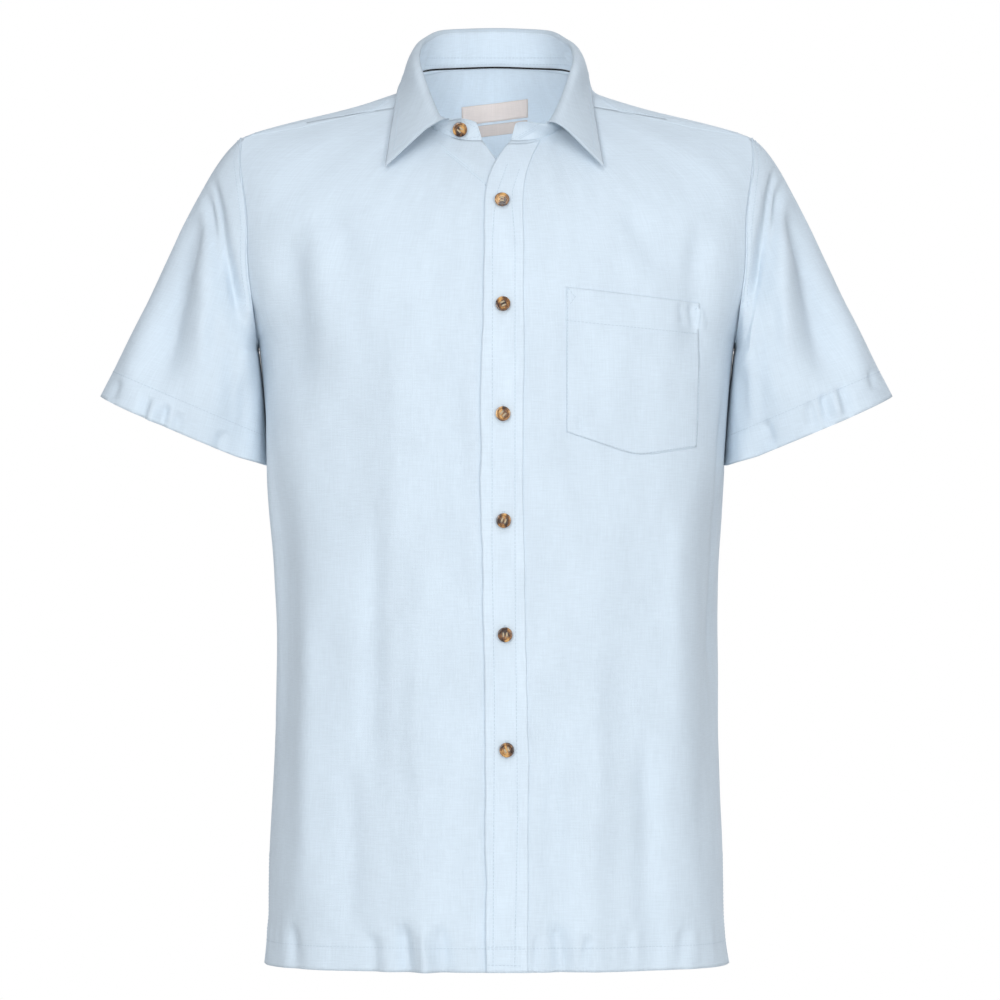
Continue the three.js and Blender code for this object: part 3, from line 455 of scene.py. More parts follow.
OBJECT_PLACE = 3  # output of the coordinate node: the place in the object's own frame
SHELL_CLOUDS = 190.0
SHELL_FLAT = (1, 1, 0.6)
SHELL_BROWN = (0.20, 0.085, 0.025)
SHELL_STOPS = (0.40, 0.49, 0.60)
SHELL_FINE = 900.0
TWIST = 2400.0
TWIST_RUN = (1, 1, 2.5)
THREAD_DARK = 0.8
BUTTON_THREAD_COLOUR = (0.62, 0.52, 0.36)
TAPE_BLACK = (0.012, 0.012, 0.014)


def tortoise():
    """Polished tortoiseshell: dark brown clouds in amber, in the button's depth."""
    s = settings()
    m = Material("Tortoiseshell")
    place = m.node("ShaderNodeTexCoord", {}, (), OBJECT_PLACE)
    cloud = m.noise(place, SHELL_CLOUDS, 3.0, SHELL_FLAT)
    stops = list(zip(SHELL_STOPS, (tuple(s.button_dark), SHELL_BROWN, tuple(s.button_light))))
    colour = m.node("ShaderNodeValToRGB", {"stops": stops}, [cloud])
    fine = m.noise(place, SHELL_FINE, 2.0)
    return m.set(
        Base_Color=colour,
        Roughness=fine * 0.10 + 0.22,
        Coat_Weight=0.4,
        Coat_Roughness=0.12,
        Normal=m.bump(fine, distance=0.00003, strength=0.4),
    )


def plain_thread(name, colour):
    """Twisted sewing thread."""
    m = Material(name)
    place = m.node("ShaderNodeTexCoord", {}, (), OBJECT_PLACE)
    twist = m.noise(place, TWIST, 2.0, TWIST_RUN)
    dark = tuple(c * THREAD_DARK for c in colour)
    return m.set(
        Base_Color=m.mix(twist, dark, tuple(colour)),
        Roughness=0.72,
        Specular_IOR_Level=0.3,
        Normal=m.bump(twist, distance=0.00008, strength=0.5),
    )


MADE = {}
# Painted light: the placket's linen is made paler than the body's, as if it caught more light
PLACKET_PAINTED_LIGHT = 1.04
# Painted shade: the collar leaf's linen is made darker, for the shade it lies in as it leans out
LEAF_PAINTED_SHADE = 0.87
TAB_SHADE = 0.84
LABEL_WEAVE = 0.6


def shaded(colour, share):
    return tuple(c * share for c in colour)


def finish_of(name):
    """One material of the shirt, made when it is first asked for."""
    s = settings()
    if name not in MADE:
        cloth_colour, label, fine = s.linen_colour, s.label_colour, s.weave * LABEL_WEAVE
        makers = {
            "linen": lambda: linen("Linen", tuple(cloth_colour), s.weave),
            # painted light on the placket: the linen made paler
            "painted_light": lambda: linen("Linen with painted light", shaded(cloth_colour, PLACKET_PAINTED_LIGHT), s.weave),
            # painted shade on the collar leaf: the linen made darker
            "leaf": lambda: linen("Linen with painted shade", shaded(cloth_colour, LEAF_PAINTED_SHADE), s.weave),
            "label": lambda: linen("Label twill", tuple(label), fine, LABEL_DEEP),
            "tab": lambda: linen("Tab twill", shaded(label, TAB_SHADE), fine, LABEL_DEEP),
            "tape": lambda: linen("Black tape", TAPE_BLACK, s.weave, TAPE_DEEP),
            "button": tortoise,
            "thread": lambda: plain_thread("Sewing thread", tuple(s.thread_colour)),
            "button_thread": lambda: plain_thread("Button thread", BUTTON_THREAD_COLOUR),
        }
        MADE[name] = makers[name]()
    return MADE[name]


# Mesh helpers


def ease(t):
    t = np.clip(t, 0.0, 1.0)
    return t * t * (3 - 2 * t)


LATTICE = 24  # the noise repeats after this many cells
LATTICE_VALUES = np.random.default_rng(41).uniform(-1, 1, (LATTICE, LATTICE, LATTICE))


def uneven(points):
    """Smooth seeded noise between -1 and 1 at each point."""
    base = np.floor(points).astype(int)
    t = ease(points - base)
    total = np.zeros(len(points))
    for corner in np.ndindex(2, 2, 2):
        weight = np.prod(np.where(corner, t, 1 - t), axis=1)
        i, j, k = ((base + corner) % LATTICE).T
        total += weight * LATTICE_VALUES[i, j, k]
    return total


def uneven_at(a, b, c):
    """The noise at three coordinates, each of which may be one value for all points."""
    return uneven(np.stack(np.broadcast_arrays(a, b, c), axis=1))


def points_of(mesh):
    co = np.empty(len(mesh.vertices) * 3)
    mesh.vertices.foreach_get("co", co)
    return co.reshape(-1, 3)


def body_out(co):
    """The way out of the body's form at each point."""
    up = np.clip((co[:, 2] - SHOULDER_FROM) / SHOULDER_RUN, 0, 1) ** 2 * SHOULDER_UP
    n = np.stack([co[:, 0] / BODY_SIDE**2, (co[:, 1] - BODY_MIDDLE) / BODY_DEPTH**2, up], axis=1)
    return n / np.linalg.norm(n, axis=1)[:, None]


def sleeve_axis(side):
    top, cuff = SLEEVE_TOP.copy(), SLEEVE_CUFF.copy()
    top.x *= side
    cuff.x *= side
    return np.array(top), np.array((cuff - top).normalized())


def sleeve_out(co, side):
    """The way out of a sleeve at each point, and how far it is along the sleeve."""
    top, axis = sleeve_axis(side)
    off = co - top
    along = off @ axis
    n = off - along[:, None] * axis
    return n / np.linalg.norm(n, axis=1)[:, None], along


def crease_height(co, out, rows, mirror=1, moved=(0, 0)):
    """Height of the listed creases, in metres."""
    x, y, z = (co / MM).T
    x = x * mirror
    forward, sideways = out[:, 1] * FACE_TURN, out[:, 0] * mirror * FACE_TURN
    faces = {
        "front": (x, np.clip(-forward, 0, 1)),
        "back": (x, np.clip(forward, 0, 1)),
        "left": (y, np.clip(sideways - SIDE_TURN, 0, 1)),
        "right": (y, np.clip(-sideways - SIDE_TURN, 0, 1)),
    }
    height = np.zeros(len(co))
    for k, (face, a0, z0, a1, z1, width, depth) in enumerate(rows):
        across, weight = faces[face]
        a0, a1, z0, z1 = a0 + moved[0], a1 + moved[0], z0 + moved[1], z1 + moved[1]
        run = math.hypot(a1 - a0, z1 - z0)
        t = ((across - a0) * (a1 - a0) + (z - z0) * (z1 - z0)) / run**2
        off = ((across - a0) * (z1 - z0) - (z - z0) * (a1 - a0)) / run
        wander = uneven_at(t * run / WANDER_RUN, k * WANDER_LAYERS[0], WANDER_LAYERS[1])
        change = uneven_at(t * run / DEPTH_RUN, k * DEPTH_LAYERS[0], DEPTH_LAYERS[1])
        fade = ease(t / FADE_IN) * (1 if z1 < OPEN_END else ease((1 - t) / FADE_OUT))
        wide = width * (HEAD_WIDTH + FOOT_WIDTH * np.clip(t, 0, 1))
        off = (off + wander * width * WANDER) / wide
        height += weight * fade * depth * MM * (1 + DEPTH_CHANGE * change) * np.exp(-(off**2))
    return height * settings().crease


def arc(co):
    """How far round the body each point lies from the front, in metres, both ways."""
    turn = np.arctan2(co[:, 0] / BODY_SIDE, -(co[:, 1] - BODY_MIDDLE) / BODY_DEPTH)
    return (BODY_SIDE + BODY_DEPTH) / 2 * turn + (BODY_SIDE - BODY_DEPTH) / 4 * np.sin(2 * turn)


def calm_by(button, co):
    """0 at a button's middle, and 1 past the calm round it."""
    low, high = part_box(button)
    middle = (low + high) / 2
    gap = np.hypot(co[:, 0] - middle.x, co[:, 2] - middle.z)
    return ease((gap - BUTTON_STILL) / BUTTON_CALM)


def body_height(co, out):
    """Height of the body's cloth over its solids: creases, soft folds and puckers."""
    u, z = arc(co), co[:, 2]
    folds = sum(share * uneven_at(u / wide, z / high, layer) for wide, high, layer, share in FOLDS)
    height = crease_height(co, out, CREASES) + settings().crumple * folds
    wide, high, layer = PUCKER
    pucker = uneven_at(u / wide, z / high, layer)
    height += PUCKER_HEIGHT * pucker * ease((PUCKER_FROM - z) / PUCKER_RUN)
    wide, slant, high, layer = DRAWN
    drawn = uneven_at(co[:, 0] / wide + z / slant, z / high, layer)
    on_placket = ease((BAND_HALF - np.abs(co[:, 0] - BAND_MIDDLE)) / BAND_RUN) * (co[:, 1] < 0)
    low_down = ease((DRAWN_LOW[0] - z) / DRAWN_LOW[1])
    height += DRAWN_HEIGHT * drawn * on_placket * (DRAWN_SHARE + low_down)
    for name in BUTTON_NODES:
        height *= np.where(co[:, 1] < 0, calm_by(name, co), 1)
    neck = np.linalg.norm(co - np.array(NECK_MIDDLE), axis=1)
    free = ease((neck - NECK_STILL) / (NECK_CALM - NECK_STILL))
    return height * (NECK_SHARE + (1 - NECK_SHARE) * free)


def nearness(co, trees, fade):
    """0 at the pieces given, and 1 past the fade's distance from them."""
    out = np.ones(len(co))
    for i, p in enumerate(co):
        for tree in trees:
            hit = tree.find_nearest(Vector(p), fade)
            if hit[3] is not None:
                out[i] = min(out[i], hit[3] / fade)
    return ease(out)


def linked(name, mesh):
    obj = bpy.data.objects.new(name, mesh)
    bpy.context.scene.collection.objects.link(obj)
    return obj


def alone(obj):
    """Makes obj the only selected object, and the active one."""
    bpy.ops.object.select_all(action="DESELECT")
    obj.select_set(True)
    bpy.context.view_layer.objects.active = obj


def applied(obj, kind, **options):
    modifier = obj.modifiers.new(kind.title(), kind)
    for key, value in options.items():
        setattr(modifier, key, value)
    alone(obj)
    bpy.ops.object.modifier_apply(modifier=modifier.name)


def smooth(obj, degrees=SHARP):
    alone(obj)
    bpy.ops.object.shade_smooth_by_angle(angle=math.radians(degrees))


def refined(node):
    """The node's own shape as quads with creased rims, subdivided."""
    mesh = frame["nodes"][node].data.copy()
    bm = bmesh.new()
    bm.from_mesh(mesh)
    bmesh.ops.remove_doubles(bm, verts=bm.verts, dist=MERGED)
    turn, skew = math.radians(QUAD_TURN), math.radians(QUAD_SKEW)
    bmesh.ops.join_triangles(
        bm, faces=bm.faces, angle_face_threshold=turn, angle_shape_threshold=skew
    )
    crease = bm.edges.layers.float.get("crease_edge") or bm.edges.layers.float.new("crease_edge")
    for edge in bm.edges:
        if len(edge.link_faces) == 2 and edge.calc_face_angle() > math.radians(SHARP):
            edge[crease] = 1.0
    bm.to_mesh(mesh)
    bm.free()
    obj = linked(f"{node}_cloth", mesh)
    mesh.materials.clear()
    levels = LEVELS.get(node, USUAL_LEVELS)
    applied(obj, "SUBSURF", levels=levels, render_levels=levels)
    return obj


def weave_map(obj, u, v, period):
    """A UV map in metres. A face that spans the end of the turn is kept whole."""
    mesh = obj.data
    loops = np.empty(len(mesh.loops), int)
    mesh.loops.foreach_get("vertex_index", loops)
    across, along = u[loops], v[loops]
    first = np.empty(len(mesh.polygons), int)
    mesh.polygons.foreach_get("loop_start", first)
    total = np.empty(len(mesh.polygons), int)
    mesh.polygons.foreach_get("loop_total", total)
    lead = np.repeat(across[first], total)
    across = across - period * np.round((across - lead) / period)
    layer = mesh.uv_layers.new(name="weave")
    layer.data.foreach_set("uv", np.stack([across, along], axis=1).ravel())


REFINED = {}
REFINED_TREES = {}


def pressed(co, tree, gap, keep):
    """Points drawn down onto the piece below, with a share of their thickness kept."""
    out = co.copy()
    for i, p in enumerate(co):
        place, _, _, far = tree.find_nearest(Vector(p))
        wanted = PRESSED_GAP + keep * max(0.0, far - gap)
        out[i] = place + (Vector(p) - place) * (wanted / max(far, TINY))
    return out


def sewn(co, trees):
    """Edges next to another piece, brought about half way to it, so that the seam is closed."""
    out = co.copy()
    for i, p in enumerate(co):
        for tree in trees:
            place = tree.find_nearest(Vector(p), SEAM_CLOSED)[0]
            if place is not None:
                out[i] = Vector(p).lerp(place, SEAM_SHARE)
                break
    return out


def hang_in(co, side, trees):
    """Brings the sleeve's inner side in, level by level, until it hangs against the body."""
    wide = np.abs(co[:, 0])
    near = np.nonzero((wide < SLEEVE_SIDE) & (co[:, 2] < SLEEVE_SIDE_FROM))[0]
    free = np.array([min(tree.find_nearest(Vector(co[i]))[3] for tree in trees) for i in near])
    table = []
    for level in np.arange(SLEEVE_FOOT, SLEEVE_SIDE_FROM, SLEEVE_SIDE_STEP):
        here = np.abs(co[near, 2] - level) < SLEEVE_SIDE_STEP / 2
        if here.any():
            room = min(SLEEVE_SIDE_IN, free[here].min() - SLEEVE_SIDE_GAP)
            table.append((level, room, wide[near][here].min()))
    levels, room, edge = np.array(table).T
    past = np.interp(co[:, 2], levels, edge) + SLEEVE_SIDE_RUN - wide
    inner = ease(past / (SLEEVE_SIDE_EASE * SLEEVE_SIDE_RUN))
    inner *= ease((SLEEVE_SIDE_FROM - co[:, 2]) / SLEEVE_SIDE_FALL)
    co[:, 0] -= side * np.interp(co[:, 2], levels, room) * inner


def drawn_straight(co):
    """The neck tape made narrow, and its run nearly level, as it looks from the front."""
    middle = np.polyval(np.polyfit(co[:, 0] ** 2, co[:, 2], 2), co[:, 0] ** 2)
    across = np.clip(np.abs(co[:, 0]) / TAPE_HALF, 0, 1) ** 2
    co[:, 2] = middle + (co[:, 2] - middle) * TAPE_NARROW + TAPE_DOWN + TAPE_ENDS_UP * across


def collar_open(co):
    """How the collar's roll leans out and down towards its front corners, so that the stand shows."""
    wide = np.abs(co[:, 0])
    (x0, z0), (x1, z1) = ROLL_LINE
    run, rise = x1 - x0, z1 - z0
    along = ((wide - x0) * run + (co[:, 2] - z0) * rise) / (run**2 + rise**2)
    along = np.clip(along, 0, 1)
    off = np.hypot(wide - x0 - along * run, co[:, 2] - z0 - along * rise)
    lean = ease(1 - off / ROLL_REACH) * (co[:, 1] < ROLL_BEHIND)
    lean *= calm_by("button_collar", co)
    sideways = np.sign(co[:, 0]) * ROLL_OUT * lean
    return np.stack([sideways, -ROLL_FRONT * lean, -ROLL_DOWN * lean * (1 - along)], axis=1)


def edge_wave(co):
    """Sideways wander of the button band's two edges, drawn in by their stitching."""
    z, shift = co[:, 2], np.zeros(len(co))
    for k, (x, reach) in enumerate(BAND_EDGES):
        wave = 0
        for length, first, second, share in EDGE_WAVES:
            wave = wave + share * uneven_at(z / length, first + k * EDGE_APART, second)
        shift += wave * np.exp(-(((co[:, 0] - x) / EDGE_NEAR) ** 2)) * reach
    return shift * (co[:, 1] < 0) * ease((EDGE_FROM - z) / EDGE_RUN)


def sleeve_form(node, co, trees):
    """Way out, height and weave at each point of a sleeve, whose inner side is brought in."""
    side = 1 if node.endswith("left") else -1
    out, along = sleeve_out(co, side)
    turn = np.arctan2(out[:, 1], out[:, 0] * side)
    folds = 0
    for close, run, shift_x, shift_y, share in SLEEVE_FOLDS:
        x, y = np.cos(turn) * close + side * shift_x, np.sin(turn) * close + side * shift_y
        folds = folds + share * uneven_at(x, y, along / run)
    moved = RIGHT_SLEEVE_MOVED if side < 0 else (0, 0)
    height = crease_height(co, out, SLEEVE_CREASES, side, moved) + settings().crumple * folds
    height *= nearness(co, trees, SEAM_FADE)
    hang_in(co, side, trees)
    corner = ease((SLEEVE_CORNER - np.abs(co[:, 0])) / SLEEVE_CORNER_RUN)
    corner *= ease((SLEEVE_SIDE_FROM + SLEEVE_CORNER_ABOVE - co[:, 2]) / SLEEVE_SIDE_FALL)
    co[:, 1] += SLEEVE_CORNER_OUT * corner * np.clip(out[:, 1] * SLEEVE_CORNER_TURN, -1, 1)
    return out, height, (turn * SLEEVE_ROUND, along, 2 * math.pi * SLEEVE_ROUND)


def body_form(node, co, trees):
    """The same for every other piece. Tape, collar and button band are moved here too."""
    if node == "neck_tape":
        drawn_straight(co)
    if node in ("collar_stand", "collar_leaf"):
        co += collar_open(co)
    out = body_out(co)
    height = body_height(co, out)
    co[:, 0] += edge_wave(co)
    if trees:
        height *= nearness(co, trees, SEAM_FADE)
    if node in ("collar_stand", "collar_leaf", "neck_tape"):
        turn = np.arctan2(co[:, 0], -co[:, 1])
        along = co[:, 2] + np.hypot(co[:, 0], co[:, 1])
        return out, height, (turn * NECK_ROUND, along, 2 * math.pi * NECK_ROUND)
    return out, height, (arc(co), co[:, 2], math.pi * (BODY_SIDE + BODY_DEPTH))


def cloth(node, trees):
    """One piece of cloth: its solid's form refined and creased, with its weave map and finish."""
    obj = REFINED[node]
    mesh = obj.data
    co = points_of(mesh)
    if node in PRESSED:
        below, gap, keep = PRESSED[node]
        co = pressed(co, REFINED_TREES[below], gap, keep)
    if node in SEWN_NODES:
        co = sewn(co, [REFINED_TREES[other] for other in SEWN_NODES if other != node])
    form = sleeve_form if node.startswith("sleeve") else body_form
    out, height, weave = form(node, co, trees)
    mesh.vertices.foreach_set("co", (co + out * height[:, None]).ravel())
    weave_map(obj, *weave)
    mesh.update()
    smooth(obj)
    slot = SLOTS.get(node, "linen")
    mesh.materials.append(finish_of(SHADES.get(node, slot)))
    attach(obj, "root")
    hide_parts(node)
    return obj


def tree_of(*meshes):
    """A search tree for each mesh."""
    return [
        BVHTree.FromPolygons([v.co for v in mesh.vertices], [p.vertices for p in mesh.polygons])
        for mesh in meshes
    ]


def solids(*nodes):
    return tree_of(*(frame["nodes"][node].data for node in nodes))


# Sewing

THREAD = 0.00026  # half the thickness of the sewing thread
THREAD_SIDES = 4
THREAD_RINGS = [(-0.5, 0.35), (-0.3, 1.0), (0.3, 1.0), (0.5, 0.35)]  # place along, share of thickness
STITCH_LIFT = THREAD * 0.45
STITCH_BREAK = 0.006  # hits further apart than this lie on different cloth
STITCH_STEP = 2.5  # pixels of the photograph's frame from one hit to the next
ROLL_STEP = 1.2
ROLL_THICK = 0.0008
THIN_ROLL = ROLL_THICK * 0.8
ROLL_PITCH = 0.0012
ROLL_STRAND = 2.2  # a strand's length, in pitches
ROLL_SUNK = 0.5


def strands(name, rows, thick=THREAD, finish="thread"):
    """One joined piece of short strands. Each row is a middle, a direction, a normal and a length."""
    turns = [2 * math.pi * k / THREAD_SIDES for k in range(THREAD_SIDES)]
    points, faces = [], []
    for middle, way, normal, length in rows:
        side = way.cross(normal).normalized()
        base = len(points)
        for share, wide in THREAD_RINGS:
            for turn in turns:
                off = side * math.cos(turn) + normal * math.sin(turn)
                points.append(middle + way * (share * length) + off * (wide * thick))
        last = base + (len(THREAD_RINGS) - 1) * THREAD_SIDES
        faces.append([base + k for k in range(THREAD_SIDES)])
        faces.append([last + k for k in reversed(range(THREAD_SIDES))])
        for ring in range(len(THREAD_RINGS) - 1):
            start = base + ring * THREAD_SIDES
            for k in range(THREAD_SIDES):
                n = (k + 1) % THREAD_SIDES
                up = THREAD_SIDES
                faces.append([start + k, start + k + up, start + n + up, start + n])
    mesh = bpy.data.meshes.new(name)
    mesh.from_pydata(points, [], faces)
    obj = linked(name, mesh)
    alone(obj)
    bpy.ops.object.mode_set(mode="EDIT")
    bpy.ops.mesh.select_all(action="SELECT")
    bpy.ops.mesh.normals_make_consistent(inside=False)
    bpy.ops.object.mode_set(mode="OBJECT")
    mesh.materials.append(finish_of(finish))
    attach(obj, "root")
    return obj


TREES = {}


def cloth_trees(*nodes):
    """Search trees of the finished cloth, made once."""
    for node in nodes:
        if node not in TREES:
            TREES[node] = tree_of(bpy.data.objects[f"{node}_cloth"].data)[0]
    return [TREES[node] for node in nodes]


def first_hit(trees, start, way):
    hits = [tree.ray_cast(start, way) for tree in trees]
    hits = [hit for hit in hits if hit[0] is not None]
    return min(hits, key=lambda hit: hit[3]) if hits else None


def camera_place():
    x, z = PHOTO_MIDDLE - ORIGIN_X, ORIGIN_Y - PHOTO_MIDDLE
    return Vector((x * PIXEL * MM, -CAMERA_DISTANCE, z * PIXEL * MM))


def seen(trees, px, py):
    """The cloth that shows at a pixel of the photograph's frame."""
    eye = camera_place()
    target = Vector(((px - ORIGIN_X) * PIXEL * MM, 0, (ORIGIN_Y - py) * PIXEL * MM))
    return first_hit(trees, eye, (target - eye).normalized())


def between(path, step):
    """Points spread along a path of corners, about a step apart."""
    out = []
    for a, b in zip(path, path[1:]):
        a, b = Vector(a), Vector(b)
        count = max(1, round((b - a).length / step))
        out += [a.lerp(b, k / count) for k in range(count)]
    return out + [Vector(path[-1])]


def stitched(hits, pitch=None, length=None, lift=STITCH_LIFT):
    """Rows of stitches along a line of hits on the cloth, with a break where the cloth ends."""
    s = settings()
    pitch, length = pitch or s.pitch, length or s.stitch
    rows, left = [], 0.0
    for one, two in zip(hits, hits[1:]):
        if one is None or two is None:
            left = 0.0
            continue
        step = two[0] - one[0]
        if step.length > STITCH_BREAK:
            left = 0.0
            continue
        while left < step.length:
            place = one[0] + step * (left / step.length)
            normal = one[1].normalized()
            rows.append((place + normal * lift, step.normalized(), normal, length))
            left += pitch
        left -= step.length
    return rows


def rolled(hits):
    """A rolled edge or seam: close strands of cloth, mostly sunk in."""
    return stitched(hits, ROLL_PITCH, ROLL_PITCH * ROLL_STRAND, -ROLL_THICK * ROLL_SUNK)


def along_photo(trees, path, step):
    """Hits on the cloth along a path in pixels of the photograph's frame."""
    return [seen(trees, x, y) for x, y in between(path, step)]


def inward(trees, points, ways):
    return stitched([first_hit(trees, p, w) for p, w in zip(points, ways)])


# Lines of stitches in pixels of the photograph's frame
PLACKET_ROWS = [
    [(507, 165), (498, 190), (494, 213), (492.5, 240), (492, 550), (494.5, 700), (493, 969)],
    [(519, 170), (512.5, 190), (512, 205), (515, 240), (515, 560), (517.5, 820), (514.6, 969)],
    [(486, 947), (523, 947)],
    [(486, 965), (523, 966)],
]
POCKET_ROWS = [
    [(567.8, 289), (566.8, 431.5), (638, 454.5), (696, 445.5), (702, 304)],
    [(567.5, 320.5), (700.5, 334)],
]
POCKET_TACKS = [[(569, 289), (575, 297)], [(575, 297), (569.5, 305)], [(700, 304), (694, 311)]]
LEAF_ROWS = [
    [(435, 116), (428, 124.5), (393.5, 150), (400, 104)],
    [(554, 116), (560, 124.5), (594.5, 150), (589, 104)],
]
FACING_ROW = [(449, 155), (487, 186)]
FACING_EDGES = [[(446, 152), (488, 185)], [(439, 143), (470, 168)]]
POCKET_EDGE = [(566.6, 290), (565.6, 432.5), (600, 446), (637, 455.8), (697, 447), (699, 380)]
POCKET_EDGE += [(702.6, 306)]
SHOULDER_SEAMS = [
    [(243, 137), (300, 127.5), (374, 111), (388, 101)],
    [(750, 137), (693, 127.5), (619, 111), (602, 101)],
]
STAND_ROWS = [
    [(431, 121.5), (446, 128.5), (462, 139.5), (480, 136.5), (477, 128), (464, 121.5), (450, 119)],
    [(513, 138.5), (528, 130.5), (545, 120)],
    [(445, 30.5), (544, 30.5)],
    [(428, 58), (567, 58)],
    [(426, 65.5), (500, 64), (570, 65)],
]
YOKE_ROWS = [
    [(246, 134.5), (300, 125), (376, 108.5), (386, 100)],
    [(747, 134.5), (693, 125), (617, 108.5), (604, 100)],
]
HEM_Z = -0.7365
HEM_STEPS = 520
OUTSIDE = 0.4  # from this far out, rays look for the cloth
BEHIND = 0.3
FORWARD = Vector((0, -1, 0))
YOKE_BACK = (-0.0915, 0.205, 160)  # height of the stitches, half their width, and points
YOKE_SEAM = (-0.0951, 0.215, 300)
VENT_EDGE = 0.006  # the vent's stitching from its edge
VENT_TOP = -0.664
VENT_FOOT = -0.754
VENT_OPEN = 0.007
VENT_STEP = 0.002
VENT_BARS = (0.0, 0.0014, 0.0028)
ARMHOLE_STITCH = 0.007  # from the seam
ARMHOLE_ROLL = 0.0008
ARMHOLE_NEAR = 0.0012  # a sleeve's points this near the body are on its seam
ARMHOLE_STEP = 0.004
ARMHOLE_LIFT = 0.004
ARMHOLE_ALONG = 0.5
ARMHOLE_ACROSS = 0.7
LEAF_TURNS = range(62, 299, 2)  # degrees round from the front
LEAF_NEAR = 3  # degrees to each side, in which the edge is looked for
LEAF_EDGE = (0.003, 0.005)  # the stitches lie this far in from the edge, and up
LEAF_FROM = (0.006, 0.004)  # and are looked for from this far out, and up
LEAF_LIFT = 0.002
SLEEVE_HEM_UP = 0.024
SLEEVE_HEM_STEPS = 240
SLEEVE_OUTSIDE = 0.14
CUFF_MIDDLE = Vector((0.27325, 0.005, -0.29475))
CUFF_ACROSS = Vector((-0.07125, 0.011, -0.03025))
CUFF_DOWN = Vector((0.34, 0, -0.94))


class SHIRT_OT_stitching(bpy.types.Operator):
    """Sews the rows of stitches on the placket, pocket, collar, yoke, armholes and hems"""

    bl_idname = "shirt.stitching"
    bl_label = "Stitching"

    def execute(self, context):
        body = cloth_trees("front_left", "front_right", "back", "yoke", "placket")
        front = cloth_trees("front_left", "front_right", "placket", "pocket")
        neck = cloth_trees("collar_stand", "collar_leaf", "front_left", "front_right", "yoke")
        groups = {
            "placket_stitches": (cloth_trees("placket"), PLACKET_ROWS),
            "pocket_stitches": (cloth_trees("pocket"), POCKET_ROWS + POCKET_TACKS),
            "facing_stitches": (front, [FACING_ROW]),
            "stand_stitches": (neck, STAND_ROWS),
            "yoke_stitches": (cloth_trees("yoke", "collar_leaf"), YOKE_ROWS),
            "leaf_stitches": (cloth_trees("collar_leaf"), LEAF_ROWS),
        }
        for name, (trees, paths) in groups.items():
            rows = []
            for path in paths:
                rows += stitched(along_photo(trees, path, STITCH_STEP))
            if name == "yoke_stitches":
                rows += stitched(self.across_back(trees[:1], YOKE_BACK))
            if name == "leaf_stitches":
                rows += self.leaf_back(trees[0])
            strands(name, rows)
        self.rolled_edges(front, body)
        strands("hem_stitches", self.hem(body))
        strands("vent_stitches", self.vents(body))
        for side, name in ((1, "left"), (-1, "right")):
            strands(f"sleeve_{name}_stitches", self.sleeve(side, name))
            ring = self.armhole(side, name, ARMHOLE_ROLL)
            strands(f"armhole_{name}_roll", rolled(ring), ROLL_THICK, "linen")
        return {"FINISHED"}

    def rolled_edges(self, front, body):
        """The pocket's turned edge, the facing's edges and the shoulder and back yoke seams."""
        groups = {
            "pocket_roll": (cloth_trees("pocket"), [POCKET_EDGE], THIN_ROLL),
            "facing_roll": (front, FACING_EDGES, ROLL_THICK),
            "shoulder_roll": (body, SHOULDER_SEAMS, THIN_ROLL),
        }
        for name, (trees, paths, thick) in groups.items():
            rows = []
            for path in paths:
                rows += rolled(along_photo(trees, path, ROLL_STEP))
            strands(name, rows, thick, "linen")
        strands("back_roll", rolled(self.across_back(body, YOKE_SEAM)), ROLL_THICK, "linen")

    def across_back(self, trees, line):
        """Hits across the back at one height."""
        z, half, count = line
        points = [Vector((x, BEHIND, z)) for x in np.linspace(-half, half, count)]
        return [first_hit(trees, p, FORWARD) for p in points]

    def leaf_back(self, leaf):
        """Round the back of the collar, just above its outer edge."""
        points = points_of(bpy.data.objects["collar_leaf_cloth"].data)
        turn = np.degrees(np.arctan2(points[:, 0], -(points[:, 1] - BODY_MIDDLE)))
        reach = np.hypot(points[:, 0], points[:, 1] - BODY_MIDDLE)
        (edge_in, edge_up), (from_out, from_up) = LEAF_EDGE, LEAF_FROM
        hits = []
        for angle in LEAF_TURNS:
            own = (angle + 180) % 360 - 180
            near = np.abs((turn - own + 180) % 360 - 180) < LEAF_NEAR
            edge = Vector(points[near][reach[near].argmax()])
            out = Vector((math.sin(math.radians(own)), -math.cos(math.radians(own)), 0))
            aim = edge - out * edge_in + Vector((0, 0, edge_up))
            hits.append(leaf.find_nearest(aim + out * from_out + Vector((0, 0, from_up))))
        closer = []
        for one, two in zip(hits, hits[1:]):
            closer += [one, ((one[0] + two[0]) / 2, one[1])]
        return stitched([leaf.find_nearest(hit[0] + hit[1] * LEAF_LIFT) for hit in closer])

    def hem(self, body):
        """Right round the body, a hem's depth above its edge."""
        points, ways = [], []
        for k in range(HEM_STEPS + 1):
            turn = 2 * math.pi * k / HEM_STEPS
            way = Vector((math.sin(turn) * BODY_SIDE, -math.cos(turn) * BODY_DEPTH, 0)).normalized()
            points.append(Vector((0, 0, HEM_Z)) + way * OUTSIDE)
            ways.append(-way)
        return inward(body, points, ways)

    def vents(self, body):
        """Both edges of each side vent, and a bar across its top."""
        rows = []
        for side in (1, -1):
            way = Vector((-side, 0, 0))
            low = VENT_OPEN + VENT_EDGE
            lines = [((face * VENT_EDGE, VENT_TOP), (face * low, VENT_FOOT)) for face in (1, -1)]
            for lift in VENT_BARS:
                lines.append(((-VENT_EDGE, VENT_TOP + lift), (VENT_EDGE, VENT_TOP + lift)))
            for ends in lines:
                path = between([(side * OUTSIDE, *end) for end in ends], VENT_STEP)
                rows += inward(body, path, [way] * len(path))
        return rows

